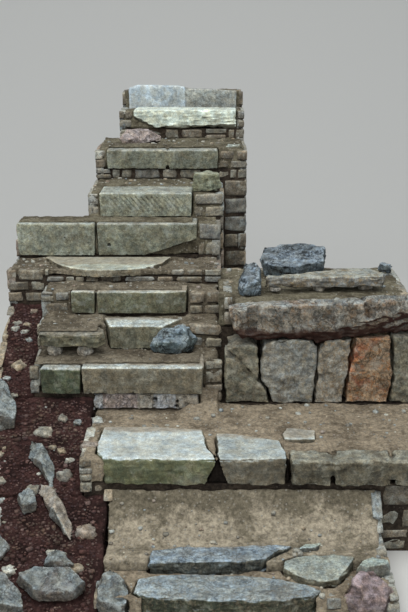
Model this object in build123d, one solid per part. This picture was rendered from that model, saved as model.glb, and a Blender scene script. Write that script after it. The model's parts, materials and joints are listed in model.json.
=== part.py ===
"""Rustic garden steps of reclaimed granite slabs and blocks.

Eleven uneven steps climb from the front (low Y) to the back (high Y), wander to the left and
come back to the right. Each step's stones lie on a bed of rubble of their own, with packed
earth behind them as the tread. A dry-stone wing wall with a heavy capstone holds a small
terrace on the right, and a cheek of rubble with edge boulders runs up the left.

Units are millimetres. X runs to the right along the step fronts, Y runs up the flight and
Z is up. The origin is on the floor, under the lowest step's bed, on the flight's centre line.
"""
from build123d import *
from math import ceil, cos, floor, radians, sin, sqrt
import os

os.makedirs("parts", exist_ok=True)

# How far the whole flight reaches to each side of its centre line
LEFT_REACH = 1430
RIGHT_REACH = 1420

# Rise of the steps, from the lowest step up
FOOT_RISE = 155
SECOND_RISE = 55
LANDING_RISE = 420
BLOCK_RISE = 300
MIDDLE_RISE = 170           # each of the fifth and sixth steps
LIP_RISE = 100
TOOLED_RISE = 250
GROOVED_RISE = 190
TENTH_RISE = 240
TOP_RISE = 250
RISES = [
    FOOT_RISE, SECOND_RISE, LANDING_RISE, BLOCK_RISE, MIDDLE_RISE, MIDDLE_RISE, LIP_RISE,
    TOOLED_RISE, GROOVED_RISE, TENTH_RISE, TOP_RISE,
]

# Going of the steps, from the lowest step up
FOOT_GOING = 280
SCOOP_GOING = 440           # the worn earth slope behind the second step
LANDING_GOING = 740
BLOCK_GOING = 370
MIDDLE_GOING = 230          # each of the fifth and sixth steps
LIP_GOING = 390
TOOLED_GOING = 220
GROOVED_GOING = 620
TENTH_GOING = 680
TOP_GOING = 350
GOINGS = [
    FOOT_GOING, SCOOP_GOING, LANDING_GOING, BLOCK_GOING, MIDDLE_GOING, MIDDLE_GOING, LIP_GOING,
    TOOLED_GOING, GROOVED_GOING, TENTH_GOING, TOP_GOING,
]

# Thickness of the stones that form each step
THICKNESS = [155, 100, 177, 190, 170, 165, 60, 250, 185, 160, 165]

# Left and right end of the rubble bed under each step, from the flight's centre line
FOOT_LEFT = 600
LANDING_LEFT = 750
MIDDLE_LEFT = 1150
UPPER_LEFT = 900
FOOT_RIGHT = 1060
MIDDLE_RIGHT = 130
UPPER_RIGHT = 360
BED_LEFT = [
    -FOOT_LEFT, -FOOT_LEFT, -LANDING_LEFT, -MIDDLE_LEFT, -MIDDLE_LEFT, -MIDDLE_LEFT, -LEFT_REACH,
    -LEFT_REACH, -UPPER_LEFT, -UPPER_LEFT, -LANDING_LEFT,
]
BED_RIGHT = [
    FOOT_RIGHT, FOOT_RIGHT, RIGHT_REACH, MIDDLE_RIGHT, MIDDLE_RIGHT, MIDDLE_RIGHT, MIDDLE_RIGHT,
    MIDDLE_RIGHT, MIDDLE_RIGHT + 30, UPPER_RIGHT, UPPER_RIGHT,
]

ORIGIN_BEHIND_FRONT = 150   # from the lowest step's front edge back to the origin
SETBACK = 30                # a bed's face behind the front line of the step above it
EARTH_DROP = 10             # earth tread below the top of its stones
SOIL_COVER = 8              # earth that lies over the back of a block
BATTER = 2.5                # lean of the stones' split sides, degrees
WEAR = 9                    # height of the worn edge round the top of a slab
WORN_ANGLE = 45             # lean of the worn edge, degrees

PACKING_DEPTH = 150         # small stones wedged under the fourth step, front to back
PACKING_RECESS = 22         # their faces behind the face of the block that they carry
THIN_BLOCK = 100            # thickness of the fifth step's left block

WING_DEPTH = 260            # wing wall stones, front to back
WING_HEIGHT = 440           # wing wall stones, from the landing up to the capstone
WING_SUNK = 20              # wing wall stones, below the landing
CAP_THICKNESS = 255         # capstone at its left end
CAP_RISE = 50               # how much higher its right end is
CAP_OVERHANG = 30
CAP_STRIP = 105             # part of the capstone's top that the terrace's soil leaves bare
TERRACE_DEPTH = 790         # rubble core of the terrace, behind the wing wall stones
TERRACE_EARTH = 225         # soil on the terrace's rubble core
TERRACE_SLAB = 80           # thickness of the slab on the terrace
TERRACE_PROP = 35           # flat stones that carry that slab above the soil

CHEEK_LOW = 40              # cheek height at the very front
CHEEK_SLOPE = 0.46          # rise of the cheek's top for each unit of run
BEDDED = 60                 # an edge stone's foot, below the cheek's top

COURSE = 150                # height of the courses in the rubble's outer faces
STONE_PITCH = 310           # upright joints between the stones of a course
STONE_WANDER = 50           # how far an upright joint strays from its even place
BED_JOINT = 24              # depth of the open joints between two courses
UPRIGHT_JOINT = 19          # depth of the open joints between two stones of a course
LEAST_STONE = 60            # a joint stays this far from the ends and the top of a face

UPRIGHT_THICKNESS = 70      # upright slabs behind the top step
UPRIGHT_REVEAL = 185        # upright slabs, above the top step
TOP_TREAD = 330             # last tread, behind the upright slabs

STEPS = len(RISES)
nodes = {}


def step_top(number):
    """Height of a step's stones above the floor, steps counted from 1."""
    return sum(RISES[:number])


def step_under(number):
    """Underside of a step's stones, which is the top of their bed."""
    return step_top(number) - THICKNESS[number - 1]


def from_front(distance):
    """Y of a distance measured from the lowest step's front edge."""
    return distance - ORIGIN_BEHIND_FRONT


def step_front(number):
    """Y of a step's front line."""
    return from_front(sum(GOINGS[:number - 1]))


def bed_front(number):
    """Y of the face of a step's bed."""
    if number == 4:
        return step_front(4) + PACKING_DEPTH
    if number > STEPS:
        return step_front(number) + UPRIGHT_THICKNESS + TOP_TREAD
    return step_front(number) + SETBACK


def cheek_top(y):
    """Height of the left cheek at a Y."""
    return CHEEK_LOW + CHEEK_SLOPE * (y - from_front(0))


def block(x0, x1, y0, y1, z0, z1):
    """A box between two corners."""
    corner = (Align.MIN, Align.MIN, Align.MIN)
    return Pos(x0, y0, z0) * Box(x1 - x0, y1 - y0, z1 - z0, align=corner)


def level_face(points, z):
    """A level face through plan points."""
    return make_face(Polyline(*[(x, y, z) for x, y in points], close=True))


def placed(points, front):
    """Plan points, given from a front line, moved to their place on the flight."""
    return [(x, front + y) for x, y in points]


def slab(points, top, thickness, wear=WEAR):
    """A split slab: level bed and top, leaning sides and a worn upper edge."""
    shoulder = level_face(points, top - wear)
    body = extrude(shoulder, amount=thickness - wear, dir=(0, 0, -1), taper=BATTER)
    arris = extrude(shoulder, amount=wear, dir=(0, 0, 1), taper=WORN_ANGLE)
    return body + arris


def rough_plan(x, y, length, width, turn=0, bumps=(1, 0.86, 1.06, 0.9, 1, 0.82, 1.04)):
    """A lumpy closed outline round a middle point."""
    points = []
    for index, bump in enumerate(bumps):
        angle = radians(360 * index / len(bumps))
        along = 0.5 * length * bump * cos(angle)
        across = 0.5 * width * bump * sin(angle)
        points.append((
            x + along * cos(radians(turn)) - across * sin(radians(turn)),
            y + along * sin(radians(turn)) + across * cos(radians(turn)),
        ))
    return points


def middle_of(points):
    """The middle of some plan points."""
    return sum(x for x, y in points) / len(points), sum(y for x, y in points) / len(points)


def drawn_in(points, share, shift):
    """Plan points drawn in towards their middle, then shifted."""
    middle_x, middle_y = middle_of(points)
    return [
        (middle_x + (x - middle_x) * share + shift[0], middle_y + (y - middle_y) * share + shift[1])
        for x, y in points
    ]


def boulder(points, bottom, top, belly=0.45, crown=0.62, foot=0.86, lean=(0, 0)):
    """A rough stone, widest at its belly, with a smaller crown and foot."""
    waist = bottom + (top - bottom) * belly
    belly_face = level_face(points, waist)
    lower = loft([level_face(drawn_in(points, foot, (0, 0)), bottom), belly_face], ruled=True)
    upper = loft([belly_face, level_face(drawn_in(points, crown, lean), top)], ruled=True)
    return lower + upper


def broken(stone, point, normal):
    """A stone with the part beyond a fracture plane gone."""
    return split(stone, bisect_by=Plane(origin=point, z_dir=normal), keep=Keep.BOTTOM)


def wall_stone(points, front, depth, wear=14):
    """A wall stone from its face outline in X and Z, with the face's edges knocked back."""
    shoulder = make_face(Polyline(*[(x, front + wear, z) for x, z in points], close=True))
    body = extrude(shoulder, amount=depth - wear, dir=(0, 1, 0))
    return body + extrude(shoulder, amount=wear, dir=(0, -1, 0), taper=WORN_ANGLE)


def seated(solid, *names):
    """A stone or a fill of earth that closes up to the named nodes without entering them."""
    for name in names:
        solid = solid - nodes[name]
    return solid


def bedded(points, lift, crest=0.0):
    """An edge stone bedded in the left cheek; its top rakes as the cheek does, to a crest."""
    front = min(y for x, y in points)
    back = max(y for x, y in points)
    middle = middle_of(points)
    stone = boulder(
        points, max(0, cheek_top(front) - BEDDED), cheek_top(back) + lift, belly=0.55, crown=0.84, foot=0.9
    )
    ridge = (*middle, cheek_top(middle[1]) + lift)
    for side in (crest, -crest) if crest else (0,):
        stone = broken(stone, ridge, (side, -CHEEK_SLOPE, 1))
    return stone


# Rubble beds, from the floor to the underside of each step's stones
def rubble_beds():
    for number in range(2, STEPS + 1):
        left = BED_LEFT[2] if number == 4 else BED_LEFT[number - 1]
        nodes[f"rubble_bed_{number:02d}"] = block(
            left, BED_RIGHT[number - 1], bed_front(number), bed_front(number + 1), 0, step_under(number)
        )
    nodes["rubble_bed_04_left"] = block(
        BED_LEFT[3], BED_LEFT[2], step_front(4) + SETBACK, bed_front(5), 0, step_under(4)
    )


# Left cheek: rubble with a raking top, in lengths that follow the beds' left ends
def left_cheek():
    stretches = {
        "left_cheek_lower": (from_front(0), bed_front(3), BED_LEFT[1]),
        "left_cheek_middle": (bed_front(3), step_front(4) + SETBACK, BED_LEFT[2]),
        "left_cheek_upper": (step_front(4) + SETBACK, bed_front(7), BED_LEFT[3]),
    }
    for name, (front, back, right) in stretches.items():
        profile = Polyline(
            (-LEFT_REACH, front, 0), (-LEFT_REACH, back, 0),
            (-LEFT_REACH, back, cheek_top(back)), (-LEFT_REACH, front, cheek_top(front)),
            close=True
        )
        nodes[name] = extrude(make_face(profile), amount=right + LEFT_REACH, dir=(1, 0, 0))


# Steps 1 and 2: natural slabs, with a side slab, a white stone and a pink boulder on their right
def lowest_steps():
    front = step_front(1)
    nodes["step_01_slab"] = slab(
        placed([
            (-392, 90), (-310, 26), (-75, 8), (190, 0), (400, 8), (590, 40), (648, 110), (560, 170),
            (412, 230), (200, 262), (-20, 268), (-235, 262), (-370, 220),
        ], front),
        step_top(1), THICKNESS[0], wear=12
    )
    left_stone = boulder(
        placed([(-582, 24), (-420, 6), (-398, 100), (-436, 205), (-522, 250), (-584, 180)], front),
        step_under(1), step_top(1) + 68, belly=0.6, crown=0.62, lean=(-10, 10)
    )
    left_stone = broken(left_stone, (-505, front + 200, step_top(1) + 60), (0.2, -0.42, 0.88))
    nodes["step_02_slab"] = slab(
        placed([
            (-318, 14), (-22, 3), (202, 18), (332, 36), (420, 130), (520, 196), (400, 212), (24, 186),
            (-138, 190), (-300, 150),
        ], step_front(2)),
        step_top(2), THICKNESS[1]
    )
    thin_slab = slab(
        placed([(536, 156), (640, 168), (690, 226), (585, 218)], step_front(2)),
        step_top(2), THICKNESS[1], wear=6
    )
    side_top = step_top(1) + 45
    side_slab = slab(
        placed([
            (440, 272), (536, 190), (652, 158), (742, 180), (822, 290), (866, 376), (736, 400), (530, 380),
            (448, 340),
        ], front),
        side_top, side_top - step_under(2)
    )
    nodes["step_02_side_slab"] = broken(side_slab, (640, front + 330, side_top), (0, -0.2, 0.98))
    white_stone = boulder(
        placed([(846, 262), (900, 228), (1040, 262), (1052, 320), (950, 352), (890, 330)], front),
        step_under(2), step_top(2) + 4, belly=0.6, crown=0.8
    )
    nodes["step_02_end_stones"] = Compound([thin_slab, white_stone])
    pink_boulder = boulder(
        placed([(752, 60), (840, 6), (985, 20), (1046, 110), (960, 196), (836, 208)], front),
        step_under(1), step_top(2) + 24, belly=0.55, crown=0.6, lean=(-10, 20)
    )
    pink_boulder = broken(pink_boulder, (900, front + 150, step_top(2) + 18), (0.22, -0.4, 0.89))
    nodes["step_01_end_boulders"] = Compound([left_stone, pink_boulder])


# Step 3: two hewn slabs that part below, a thin slab behind them and kerb stones to the right
def landing_step():
    front = step_front(3)
    top = step_top(3)
    nodes["step_03_left_slab"] = slab(
        placed([
            (-648, 118), (-600, 35), (-560, 18), (20, 2), (76, 2), (60, 90), (22, 178),
            (-8, 446), (-330, 492), (-640, 488), (-655, 260),
        ], front),
        top, THICKNESS[2], wear=11
    )
    nodes["step_03_right_slab"] = slab(
        placed([
            (84, 0), (300, 4), (494, 12), (486, 150), (470, 282), (330, 330), (178, 384),
            (66, 392), (80, 190), (72, 92),
        ], front),
        top, THICKNESS[2], wear=11
    )
    joint = (80, front, top - 10)
    throat = block(-30, 190, front - 60, front + 130, step_under(3) - 60, top - 10)
    for lean in (-1, 1):
        throat = broken(throat, joint, (lean, 0, 0.42))
    nodes["step_03_left_slab"] = nodes["step_03_left_slab"] - throat
    nodes["step_03_right_slab"] = nodes["step_03_right_slab"] - throat
    nodes["step_03_back_slab"] = slab(
        placed([(500, 300), (684, 292), (698, 427), (519, 474), (487, 380)], front),
        top, THICKNESS[2] * 0.5, wear=7
    )
    kerb_joints = [506, 770, 1120, BED_RIGHT[2]]
    kerbs = [
        slab(
            placed([
                (left, -20), (right - 8, -8 * (index + 1)), (right - 8, 150 + 12 * index),
                (left + 12, 170),
            ], front),
            top, THICKNESS[2], wear=16
        )
        for index, (left, right) in enumerate(zip(kerb_joints, kerb_joints[1:]))
    ]
    nodes["step_03_kerb_stones"] = Compound(kerbs)


# Step 4: a squared block and its darker left end on wedged packing stones
def block_step():
    front = step_front(4)
    top = step_top(4)
    nodes["step_04_block"] = slab(
        placed([(-800, 0), (-7, -4), (0, 60), (-4, 285), (-390, 298), (-796, 288)], front),
        top, THICKNESS[3], wear=8
    )
    nodes["step_04_left_block"] = slab(
        placed([(-1072, 14), (-960, -2), (-808, 4), (-804, 250), (-1065, 262)], front),
        top - 8, THICKNESS[3] - 8, wear=12
    )
    foot = step_top(3) - EARTH_DROP
    head = step_under(4)
    waist = foot + 64
    joints = [
        (-744, -746, -738), (-668, -674, -660), (-442, -436, -449), (-336, -327, -333),
        (-186, -179, -192), (-22, -30, -34),
    ]
    gap = 8
    nodes["step_04_packing_stones"] = Compound([
        wall_stone(
            [
                (left[0] + gap, foot), (right[0], foot), (right[1], waist), (right[2], head),
                (left[2] + gap, head), (left[1] + gap, waist),
            ],
            front + PACKING_RECESS + 5 * (index % 2), PACKING_DEPTH - PACKING_RECESS - 5, wear=10
        )
        for index, (left, right) in enumerate(zip(joints, joints[1:]))
    ])


# Step 5: a thin block on props, a thick block and a blue-grey rock at its end
def fifth_step():
    front = step_front(5)
    top = step_top(5)
    nodes["step_05_left_block"] = slab(
        placed([
            (-1110, -180), (-900, -196), (-700, -200), (-656, -150), (-664, -70), (-705, -12),
            (-900, 30), (-1090, 26),
        ], front),
        top, THIN_BLOCK, wear=14
    )
    props = [
        boulder(rough_plan(-1010, front - 90, 120, 110, turn=20), step_top(4) - EARTH_DROP, top - THIN_BLOCK),
        boulder(rough_plan(-800, front - 110, 130, 90, turn=-10), step_top(4) - EARTH_DROP, top - THIN_BLOCK),
    ]
    nodes["step_05_prop_stones"] = seated(Compound(props), "step_04_left_block", "step_04_block")
    nodes["step_05_right_block"] = slab(
        placed([
            (-645, -15), (-282, -18), (-160, 150), (-400, 198), (-700, 190),
        ], front),
        top, THICKNESS[4], wear=9
    )
    rock = boulder(
        placed([(-375, -110), (-262, -150), (-92, -125), (-48, -30), (-96, 70), (-190, 90),
                (-255, -22), (-352, -26)], front),
        step_top(4) - EARTH_DROP, top - 5, belly=0.5, crown=0.62, lean=(20, 20)
    )
    rock = broken(rock, (-330, front - 100, step_top(4) + 90), (-0.55, -0.55, 0.62))
    nodes["blue_grey_edge_rock"] = seated(rock, "step_04_block", "step_05_right_block", "rubble_bed_05")


# Step 6: two blocks with an upright joint
def sixth_step():
    front = step_front(6)
    top = step_top(6)
    left = slab(
        placed([(-936, 12), (-764, 0), (-760, 190), (-925, 196)], front),
        top, THICKNESS[5]
    )
    right = slab(
        placed([(-752, 0), (-258, -4), (-120, 20), (-112, 185), (-440, 200), (-748, 192)], front),
        top, THICKNESS[5]
    )
    nodes["step_06_blocks"] = Compound([left, right])


# Step 7: a thin tread slab with a bowed front lip
def seventh_step():
    front = step_front(7)
    left = (-1130, front + 250)
    bow = (-760, front - 18)
    right = (-300, front + 200)
    lip = ThreePointArc(left, bow, right)
    rest = Polyline(right, (-240, front + 385), (-1190, front + 385), left)
    tread = extrude(make_face([lip, rest]), amount=-THICKNESS[6])
    tread = Pos(0, 0, step_top(7)) * tread
    rim = tread.edges().filter_by(lambda edge: abs(edge.center().Z - step_top(7)) < 0.01)
    nodes["step_07_tread_slab"] = chamfer(rim, 8)


# Step 8: two tooled blocks with a drill hole
def eighth_step():
    front = step_front(8)
    top = step_top(8)
    depth = GOINGS[7] + SETBACK - 8
    end = -LEFT_REACH + 20
    nodes["step_08_left_block"] = slab(
        placed([(end, 10), (end + 210, 0), (-816, 2), (-812, depth - 10), (end + 5, depth - 18)], front),
        top, THICKNESS[7]
    )
    right = slab(
        placed([(-806, 0), (-400, -4), (-52, 8), (-46, depth - 20), (-804, depth - 10)], front),
        top, THICKNESS[7]
    )
    right = broken(right, (-440, front, step_under(8)), (0.32, 0, -0.95))
    drill = Pos(-714, front, top - 168) * Rot(90, 0, 0) * Cylinder(11, 90)
    nodes["step_08_right_block"] = right - drill


# Step 9: a block with slanting chisel grooves, and a small stone at its right end
def ninth_step():
    front = step_front(9)
    top = step_top(9)
    stone = slab(
        placed([(-802, 4), (-500, -4), (-91, 0), (-86, 284), (-450, 298), (-796, 290)], front),
        top, THICKNESS[8]
    )
    groove_pitch = 40
    grooves = [
        Pos(-752 + groove_pitch * index, front, top - THICKNESS[8] / 2) * Rot(0, -40, 0) * Box(11, 14, 165)
        for index in range(16)
    ]
    nodes["step_09_block"] = stone - grooves
    nodes["step_09_end_stone"] = boulder(
        placed([(-98, 92), (30, 84), (136, 100), (130, 230), (0, 246), (-92, 225)], front),
        top - EARTH_DROP, top + 135, belly=0.4, crown=0.86
    )


# Step 10: two slabs, and rough stones that carry the slab above
def tenth_step():
    front = step_front(10)
    top = step_top(10)
    left = slab(
        placed([(-800, 10), (-560, 0), (-300, 6), (-312, 270), (-790, 280)], front),
        top, THICKNESS[9], wear=12
    )
    right = slab(
        placed([(-292, 6), (-60, -4), (118, 14), (112, 262), (-304, 270)], front),
        top, THICKNESS[9], wear=12
    )
    nodes["step_10_slabs"] = Compound([left, right])
    packing = boulder(
        rough_plan(-555, front + 455, 400, 250, turn=8), top - EARTH_DROP, top + 112, belly=0.4
    )
    end_stone = boulder(
        rough_plan(245, front + 160, 190, 180, turn=15), step_under(10), top + 32, belly=0.55, crown=0.7
    )
    nodes["step_10_boulders"] = Compound([packing, end_stone])


# Step 11: a broad rough slab, with upright slabs behind it that hold the last tread
def top_step():
    front = step_front(11)
    top = step_top(11)
    stone = slab(
        placed([
            (-620, 20), (-590, 0), (-200, -6), (250, -4), (288, 14), (284, 250), (60, 300), (-600, 290),
        ], front),
        top, THICKNESS[10]
    )
    stone = broken(stone, (0, front, step_under(11) + 28), (0.03, -0.5, -0.86))
    nodes["step_11_slab"] = broken(stone, (-480, front, step_under(11) + 45), (-0.42, -0.3, -0.86))

    foot = step_under(11)
    head = top + UPRIGHT_REVEAL
    front = step_front(12)
    upright = wall_stone(
        [(-685, foot), (-174, foot), (-171, head - 14), (-230, head - 4), (-600, head), (-676, head - 26)],
        front, UPRIGHT_THICKNESS, wear=8
    )
    end_upright = wall_stone(
        [(-168, foot), (300, foot), (292, head - 52), (120, head - 38), (-163, head - 30)],
        front, UPRIGHT_THICKNESS, wear=8
    )
    nodes["step_12_upright_slabs"] = Compound([upright, end_upright])


# Wing wall: five stones on a rubble footing, under one heavy capstone
def wing_wall():
    front = bed_front(4)
    foot = step_top(3) - WING_SUNK
    head = step_top(3) + WING_HEIGHT
    left = BED_RIGHT[3]
    right = BED_RIGHT[2]
    nodes["wing_footing"] = block(left, right, front, front + WING_DEPTH, 0, foot)

    face = front - CAP_OVERHANG
    end = right + CAP_OVERHANG
    cap_top = head + CAP_THICKNESS
    cap = wall_stone(
        [
            (left + 29, cap_top - 34), (left + 36, head + 150), (left + 64, head + 72), (left + 118, head - 6),
            (446, head - 14), (630, head - 12), (715, head - 24), (779, head - 46), (846, head - 40),
            (990, head), (1213, head + 16), (end, head + 24), (end + 8, head + 180),
            (end - 18, cap_top + CAP_RISE), (1240, cap_top + CAP_RISE - 6), (867, cap_top + 28),
            (503, cap_top), (313, cap_top - 14),
        ],
        face, front + WING_DEPTH - face, wear=20
    )
    rake = CAP_RISE / (end - left)
    cap = broken(cap, (right, face, cap_top + CAP_RISE - 28), (-rake, -0.36, 0.93))
    cap = broken(cap, (313, face + CAP_STRIP, cap_top - 14), (-rake, 0.5, 0.86))
    cap = broken(cap, (left + 90, face, cap_top), (-0.62, -0.78, 0))
    cap = broken(cap, (500, face, head + 54), (0.02, -0.73, -0.68))
    cap = broken(cap, (800, face, head + 64), (0.14, -0.85, -0.52))
    hollow = Pos(316, face - 12, head + 150) * Rot(0, 8, 0) * Cylinder(40, 230)
    pocket = Pos(1082, face - 8, head + 250) * Rot(0, -3, 0) * Cylinder(37, 200)
    nodes["wing_capstone"] = cap - hollow - pocket

    outlines = {
        "left": [
            (left + 12, head - 62), (208, head - 40), (318, head - 38), (366, head - 60), (368, 780),
            (287, 852), (243, 932), (left + 44, 962),
        ],
        "left foot": [
            (left + 8, foot), (446, foot), (424, 706), (366, 768), (276, 842), (232, 921),
            (left + 10, 956),
        ],
        "middle": [
            (378, 985), (400, head - 34), (470, head + 2), (655, head + 2), (716, head - 10), (754, 985),
            (747, 765), (734, foot), (456, foot), (430, 714), (380, 782),
        ],
        "right": [
            (762, 968), (800, head - 25), (884, head - 4), (990, head + 8), (974, 937), (949, 728),
            (938, foot), (742, foot), (755, 765),
        ],
        "rust": [
            (998, head + 12), (1236, head + 22), (1264, 800), (1240, foot), (946, foot), (958, 728),
            (983, 937),
        ],
        "end": [
            (1245, head + 24), (right - 8, head + 26), (right - 6, foot), (1249, foot), (1273, 800),
        ],
    }
    stones = {
        name: seated(wall_stone(points, front, WING_DEPTH), "wing_capstone")
        for name, points in outlines.items()
    }
    nodes["wing_middle_stone"] = stones.pop("middle")
    nodes["wing_rust_stone"] = stones.pop("rust")
    nodes["wing_small_stones"] = Compound(list(stones.values()))


# Terrace behind the wing wall: rubble core and soil, with a slab and angular rocks on it
def terrace():
    left = BED_RIGHT[3]
    right = BED_RIGHT[2]
    wall_back = bed_front(4) + WING_DEPTH
    back = wall_back + TERRACE_DEPTH
    core_top = step_top(3) + WING_HEIGHT
    ground = core_top + TERRACE_EARTH
    bare = bed_front(4) - CAP_OVERHANG + CAP_STRIP
    nodes["terrace_core"] = block(left, right, wall_back, back, 0, core_top)
    over_cap = block(left + 80, right, bare, wall_back, core_top + 100, ground)
    nodes["terrace_earth"] = seated(
        block(left, right, wall_back, back, core_top, ground) + over_cap, "wing_capstone"
    )
    slab_under = ground + TERRACE_PROP
    nodes["terrace_slab"] = slab(
        placed([
            (412, 82), (800, 74), (1236, 80), (1266, 190), (1176, 332), (950, 318), (772, 240), (560, 160),
            (424, 140),
        ], wall_back),
        slab_under + TERRACE_SLAB, TERRACE_SLAB, wear=16
    )
    nodes["terrace_prop_stones"] = Compound([
        slab(rough_plan(x, wall_back + y, 120, 90, turn=x), slab_under, TERRACE_PROP, wear=5)
        for x, y in [(486, 128), (800, 150), (1120, 180), (1010, 260)]
    ])
    end_rock = boulder(
        placed([(228, 6), (300, -34), (388, -6), (402, 96), (376, 152), (300, 176), (234, 120)], wall_back),
        core_top + 160, ground + 200, belly=0.45, crown=0.62, lean=(6, 42)
    )
    end_rock = broken(end_rock, (330, wall_back + 70, ground + 150), (-0.25, -0.62, 0.74))
    back_rock = boulder(
        placed([(412, 452), (513, 372), (640, 350), (868, 450), (912, 700), (800, 764), (600, 756),
                (420, 700)], wall_back),
        ground, ground + 215, belly=0.5, crown=0.88
    )
    small_stone = boulder(
        rough_plan(1330, wall_back + 600, 130, 110), ground, ground + 78, crown=0.75
    )
    nodes["terrace_rocks"] = Compound([
        seated(end_rock, "terrace_earth", "wing_capstone"),
        broken(back_rock, (640, wall_back + 350, ground + 112), (-0.02, -0.2, 0.98)),
        small_stone,
    ])


# Edge boulders bedded in the top of the left cheek
def edge_boulders():
    corner = [
        (-1412, -112), (-1180, -144), (-952, -138), (-985, -58), (-1078, 40), (-1140, 72), (-1300, 90),
        (-1414, 30),
    ]
    flat = [(-1050, 50), (-950, 98), (-720, 90), (-640, 0), (-700, -60), (-818, -72), (-930, -60)]
    above_flat = [(-905, 140), (-885, 215), (-790, 205), (-722, 140), (-800, 118)]
    pale = [(-1112, 555), (-1045, 606), (-1002, 566), (-978, 486), (-1058, 455)]
    low_ridge = [
        (-1108, 690), (-1062, 742), (-940, 640), (-836, 520), (-724, 352), (-680, 268), (-716, 246),
        (-800, 318), (-908, 452), (-968, 572),
    ]
    high_ridge = [
        (-1206, 968), (-1160, 1022), (-1090, 986), (-945, 838), (-818, 640), (-846, 588), (-905, 612),
        (-1030, 790),
    ]
    head = [
        (-1408, 1090), (-1300, 1040), (-1196, 1062), (-1200, 1170), (-1262, 1310), (-1340, 1392), (-1410, 1350),
    ]
    small = [(-1262, 296), (-1240, 190), (-1140, 170), (-1100, 250), (-1180, 336)]
    stones = [
        bedded(corner, 105, crest=0.25), bedded(flat, 78), bedded(above_flat, 62, crest=0.4),
        bedded(pale, 66), bedded(low_ridge, 92, crest=0.75), bedded(high_ridge, 88, crest=0.9),
        bedded(head, 120, crest=0.35), bedded(small, 55, crest=0.3),
    ]
    nodes["left_edge_boulders"] = Compound([
        seated(stone, "left_cheek_lower", "left_cheek_middle", "left_cheek_upper") for stone in stones
    ])


def soil_slump():
    """Soil that has slumped from the right end of the fourth step's block onto the landing."""
    level = step_top(3) - EARTH_DROP
    bank = block(-200, MIDDLE_RIGHT, bed_front(4) - 260, bed_front(4), level - 5, step_under(4))
    bank = broken(bank, (0, bed_front(4) - 250, level), (0, -0.42, 0.9))
    return broken(bank, (-190, bed_front(4) - 100, level), (-0.55, -0.1, 0.83))


# Packed earth behind and between the stones of each step
def earth_treads():
    scoop_front = bed_front(2)
    scoop_back = bed_front(3)
    base = step_under(2)
    low = step_top(2) - EARTH_DROP
    high = step_under(3) - EARTH_DROP
    worn_foot = step_front(2) + 215
    curve = Spline(
        (BED_LEFT[1], worn_foot, low),
        (BED_LEFT[1], (worn_foot + scoop_back) / 2, low + (high - low) * 0.33),
        (BED_LEFT[1], scoop_back, high),
    )
    sides = Polyline(
        (BED_LEFT[1], scoop_back, high), (BED_LEFT[1], scoop_back, base),
        (BED_LEFT[1], scoop_front, base), (BED_LEFT[1], scoop_front, low),
        (BED_LEFT[1], worn_foot, low),
    )
    scoop = extrude(make_face([curve, sides]), amount=BED_RIGHT[1] - BED_LEFT[1], dir=(1, 0, 0))
    nodes["earth_riser_02"] = seated(
        scoop, "step_02_slab", "step_02_side_slab", "step_02_end_stones"
    )
    stones = {
        1: ["step_01_slab", "step_01_end_boulders", "step_02_side_slab", "step_02_end_stones", "step_02_slab"],
        3: ["step_03_left_slab", "step_03_right_slab", "step_03_back_slab", "step_03_kerb_stones",
            "step_04_packing_stones"],
        4: ["step_04_block", "step_04_left_block", "step_05_prop_stones", "step_05_right_block",
            "blue_grey_edge_rock"],
        5: ["step_05_right_block", "step_05_left_block", "blue_grey_edge_rock", "step_06_blocks"],
        6: ["step_06_blocks"],
        7: ["step_07_tread_slab"],
        8: ["step_08_left_block", "step_08_right_block", "step_09_block"],
        9: ["step_09_block", "step_09_end_stone"],
        10: ["step_10_slabs", "step_10_boulders"],
        11: ["step_11_slab"],
    }
    # Soil over the back of some blocks: left and right end, and the strip in front that stays bare
    covers = {
        4: (BED_LEFT[3], -20, 66), 5: (BED_LEFT[4], -705, -148), 6: (BED_LEFT[5], -150, 48),
        8: (BED_LEFT[7], -80, 42), 9: (BED_LEFT[8], -110, 48), 10: (BED_LEFT[9], BED_RIGHT[9], 90),
    }
    fills = {}
    for number, names in stones.items():
        back = bed_front(number + 1) if number < STEPS else step_front(STEPS + 1)
        level = step_top(number) - EARTH_DROP
        fill = block(
            BED_LEFT[number - 1], BED_RIGHT[number - 1], bed_front(number), back, step_under(number), level
        )
        if number in covers:
            left, right, strip = covers[number]
            fill += block(left, right, step_front(number) + strip, back, level, step_top(number) + SOIL_COVER)
        if number == 3:
            fill += soil_slump() - block(55, 115, bed_front(3), bed_front(3) + 100, step_under(3), level)
        fills[number] = seated(fill, *names)
    fills[12] = block(
        BED_LEFT[-1], BED_RIGHT[-1], step_front(12) + UPRIGHT_THICKNESS, bed_front(12),
        step_under(11), step_top(11) + UPRIGHT_REVEAL - 60
    )
    nodes["earth_tread_01"] = fills[1]
    nodes["earth_tread_03"] = fills[3]
    nodes["earth_treads_04_to_07"] = Compound([fills[number] for number in range(4, 8)])
    nodes["earth_treads_08_to_12"] = Compound([fills[number] for number in range(8, 13)])


def joint_place(course, index):
    """Where an upright joint stands along a wall; odd courses break joint with even ones."""
    even_place = STONE_PITCH * (index + 0.5 * (course % 2))
    return even_place + STONE_WANDER * sin(2.4 * index + 1.7 * course)


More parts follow.
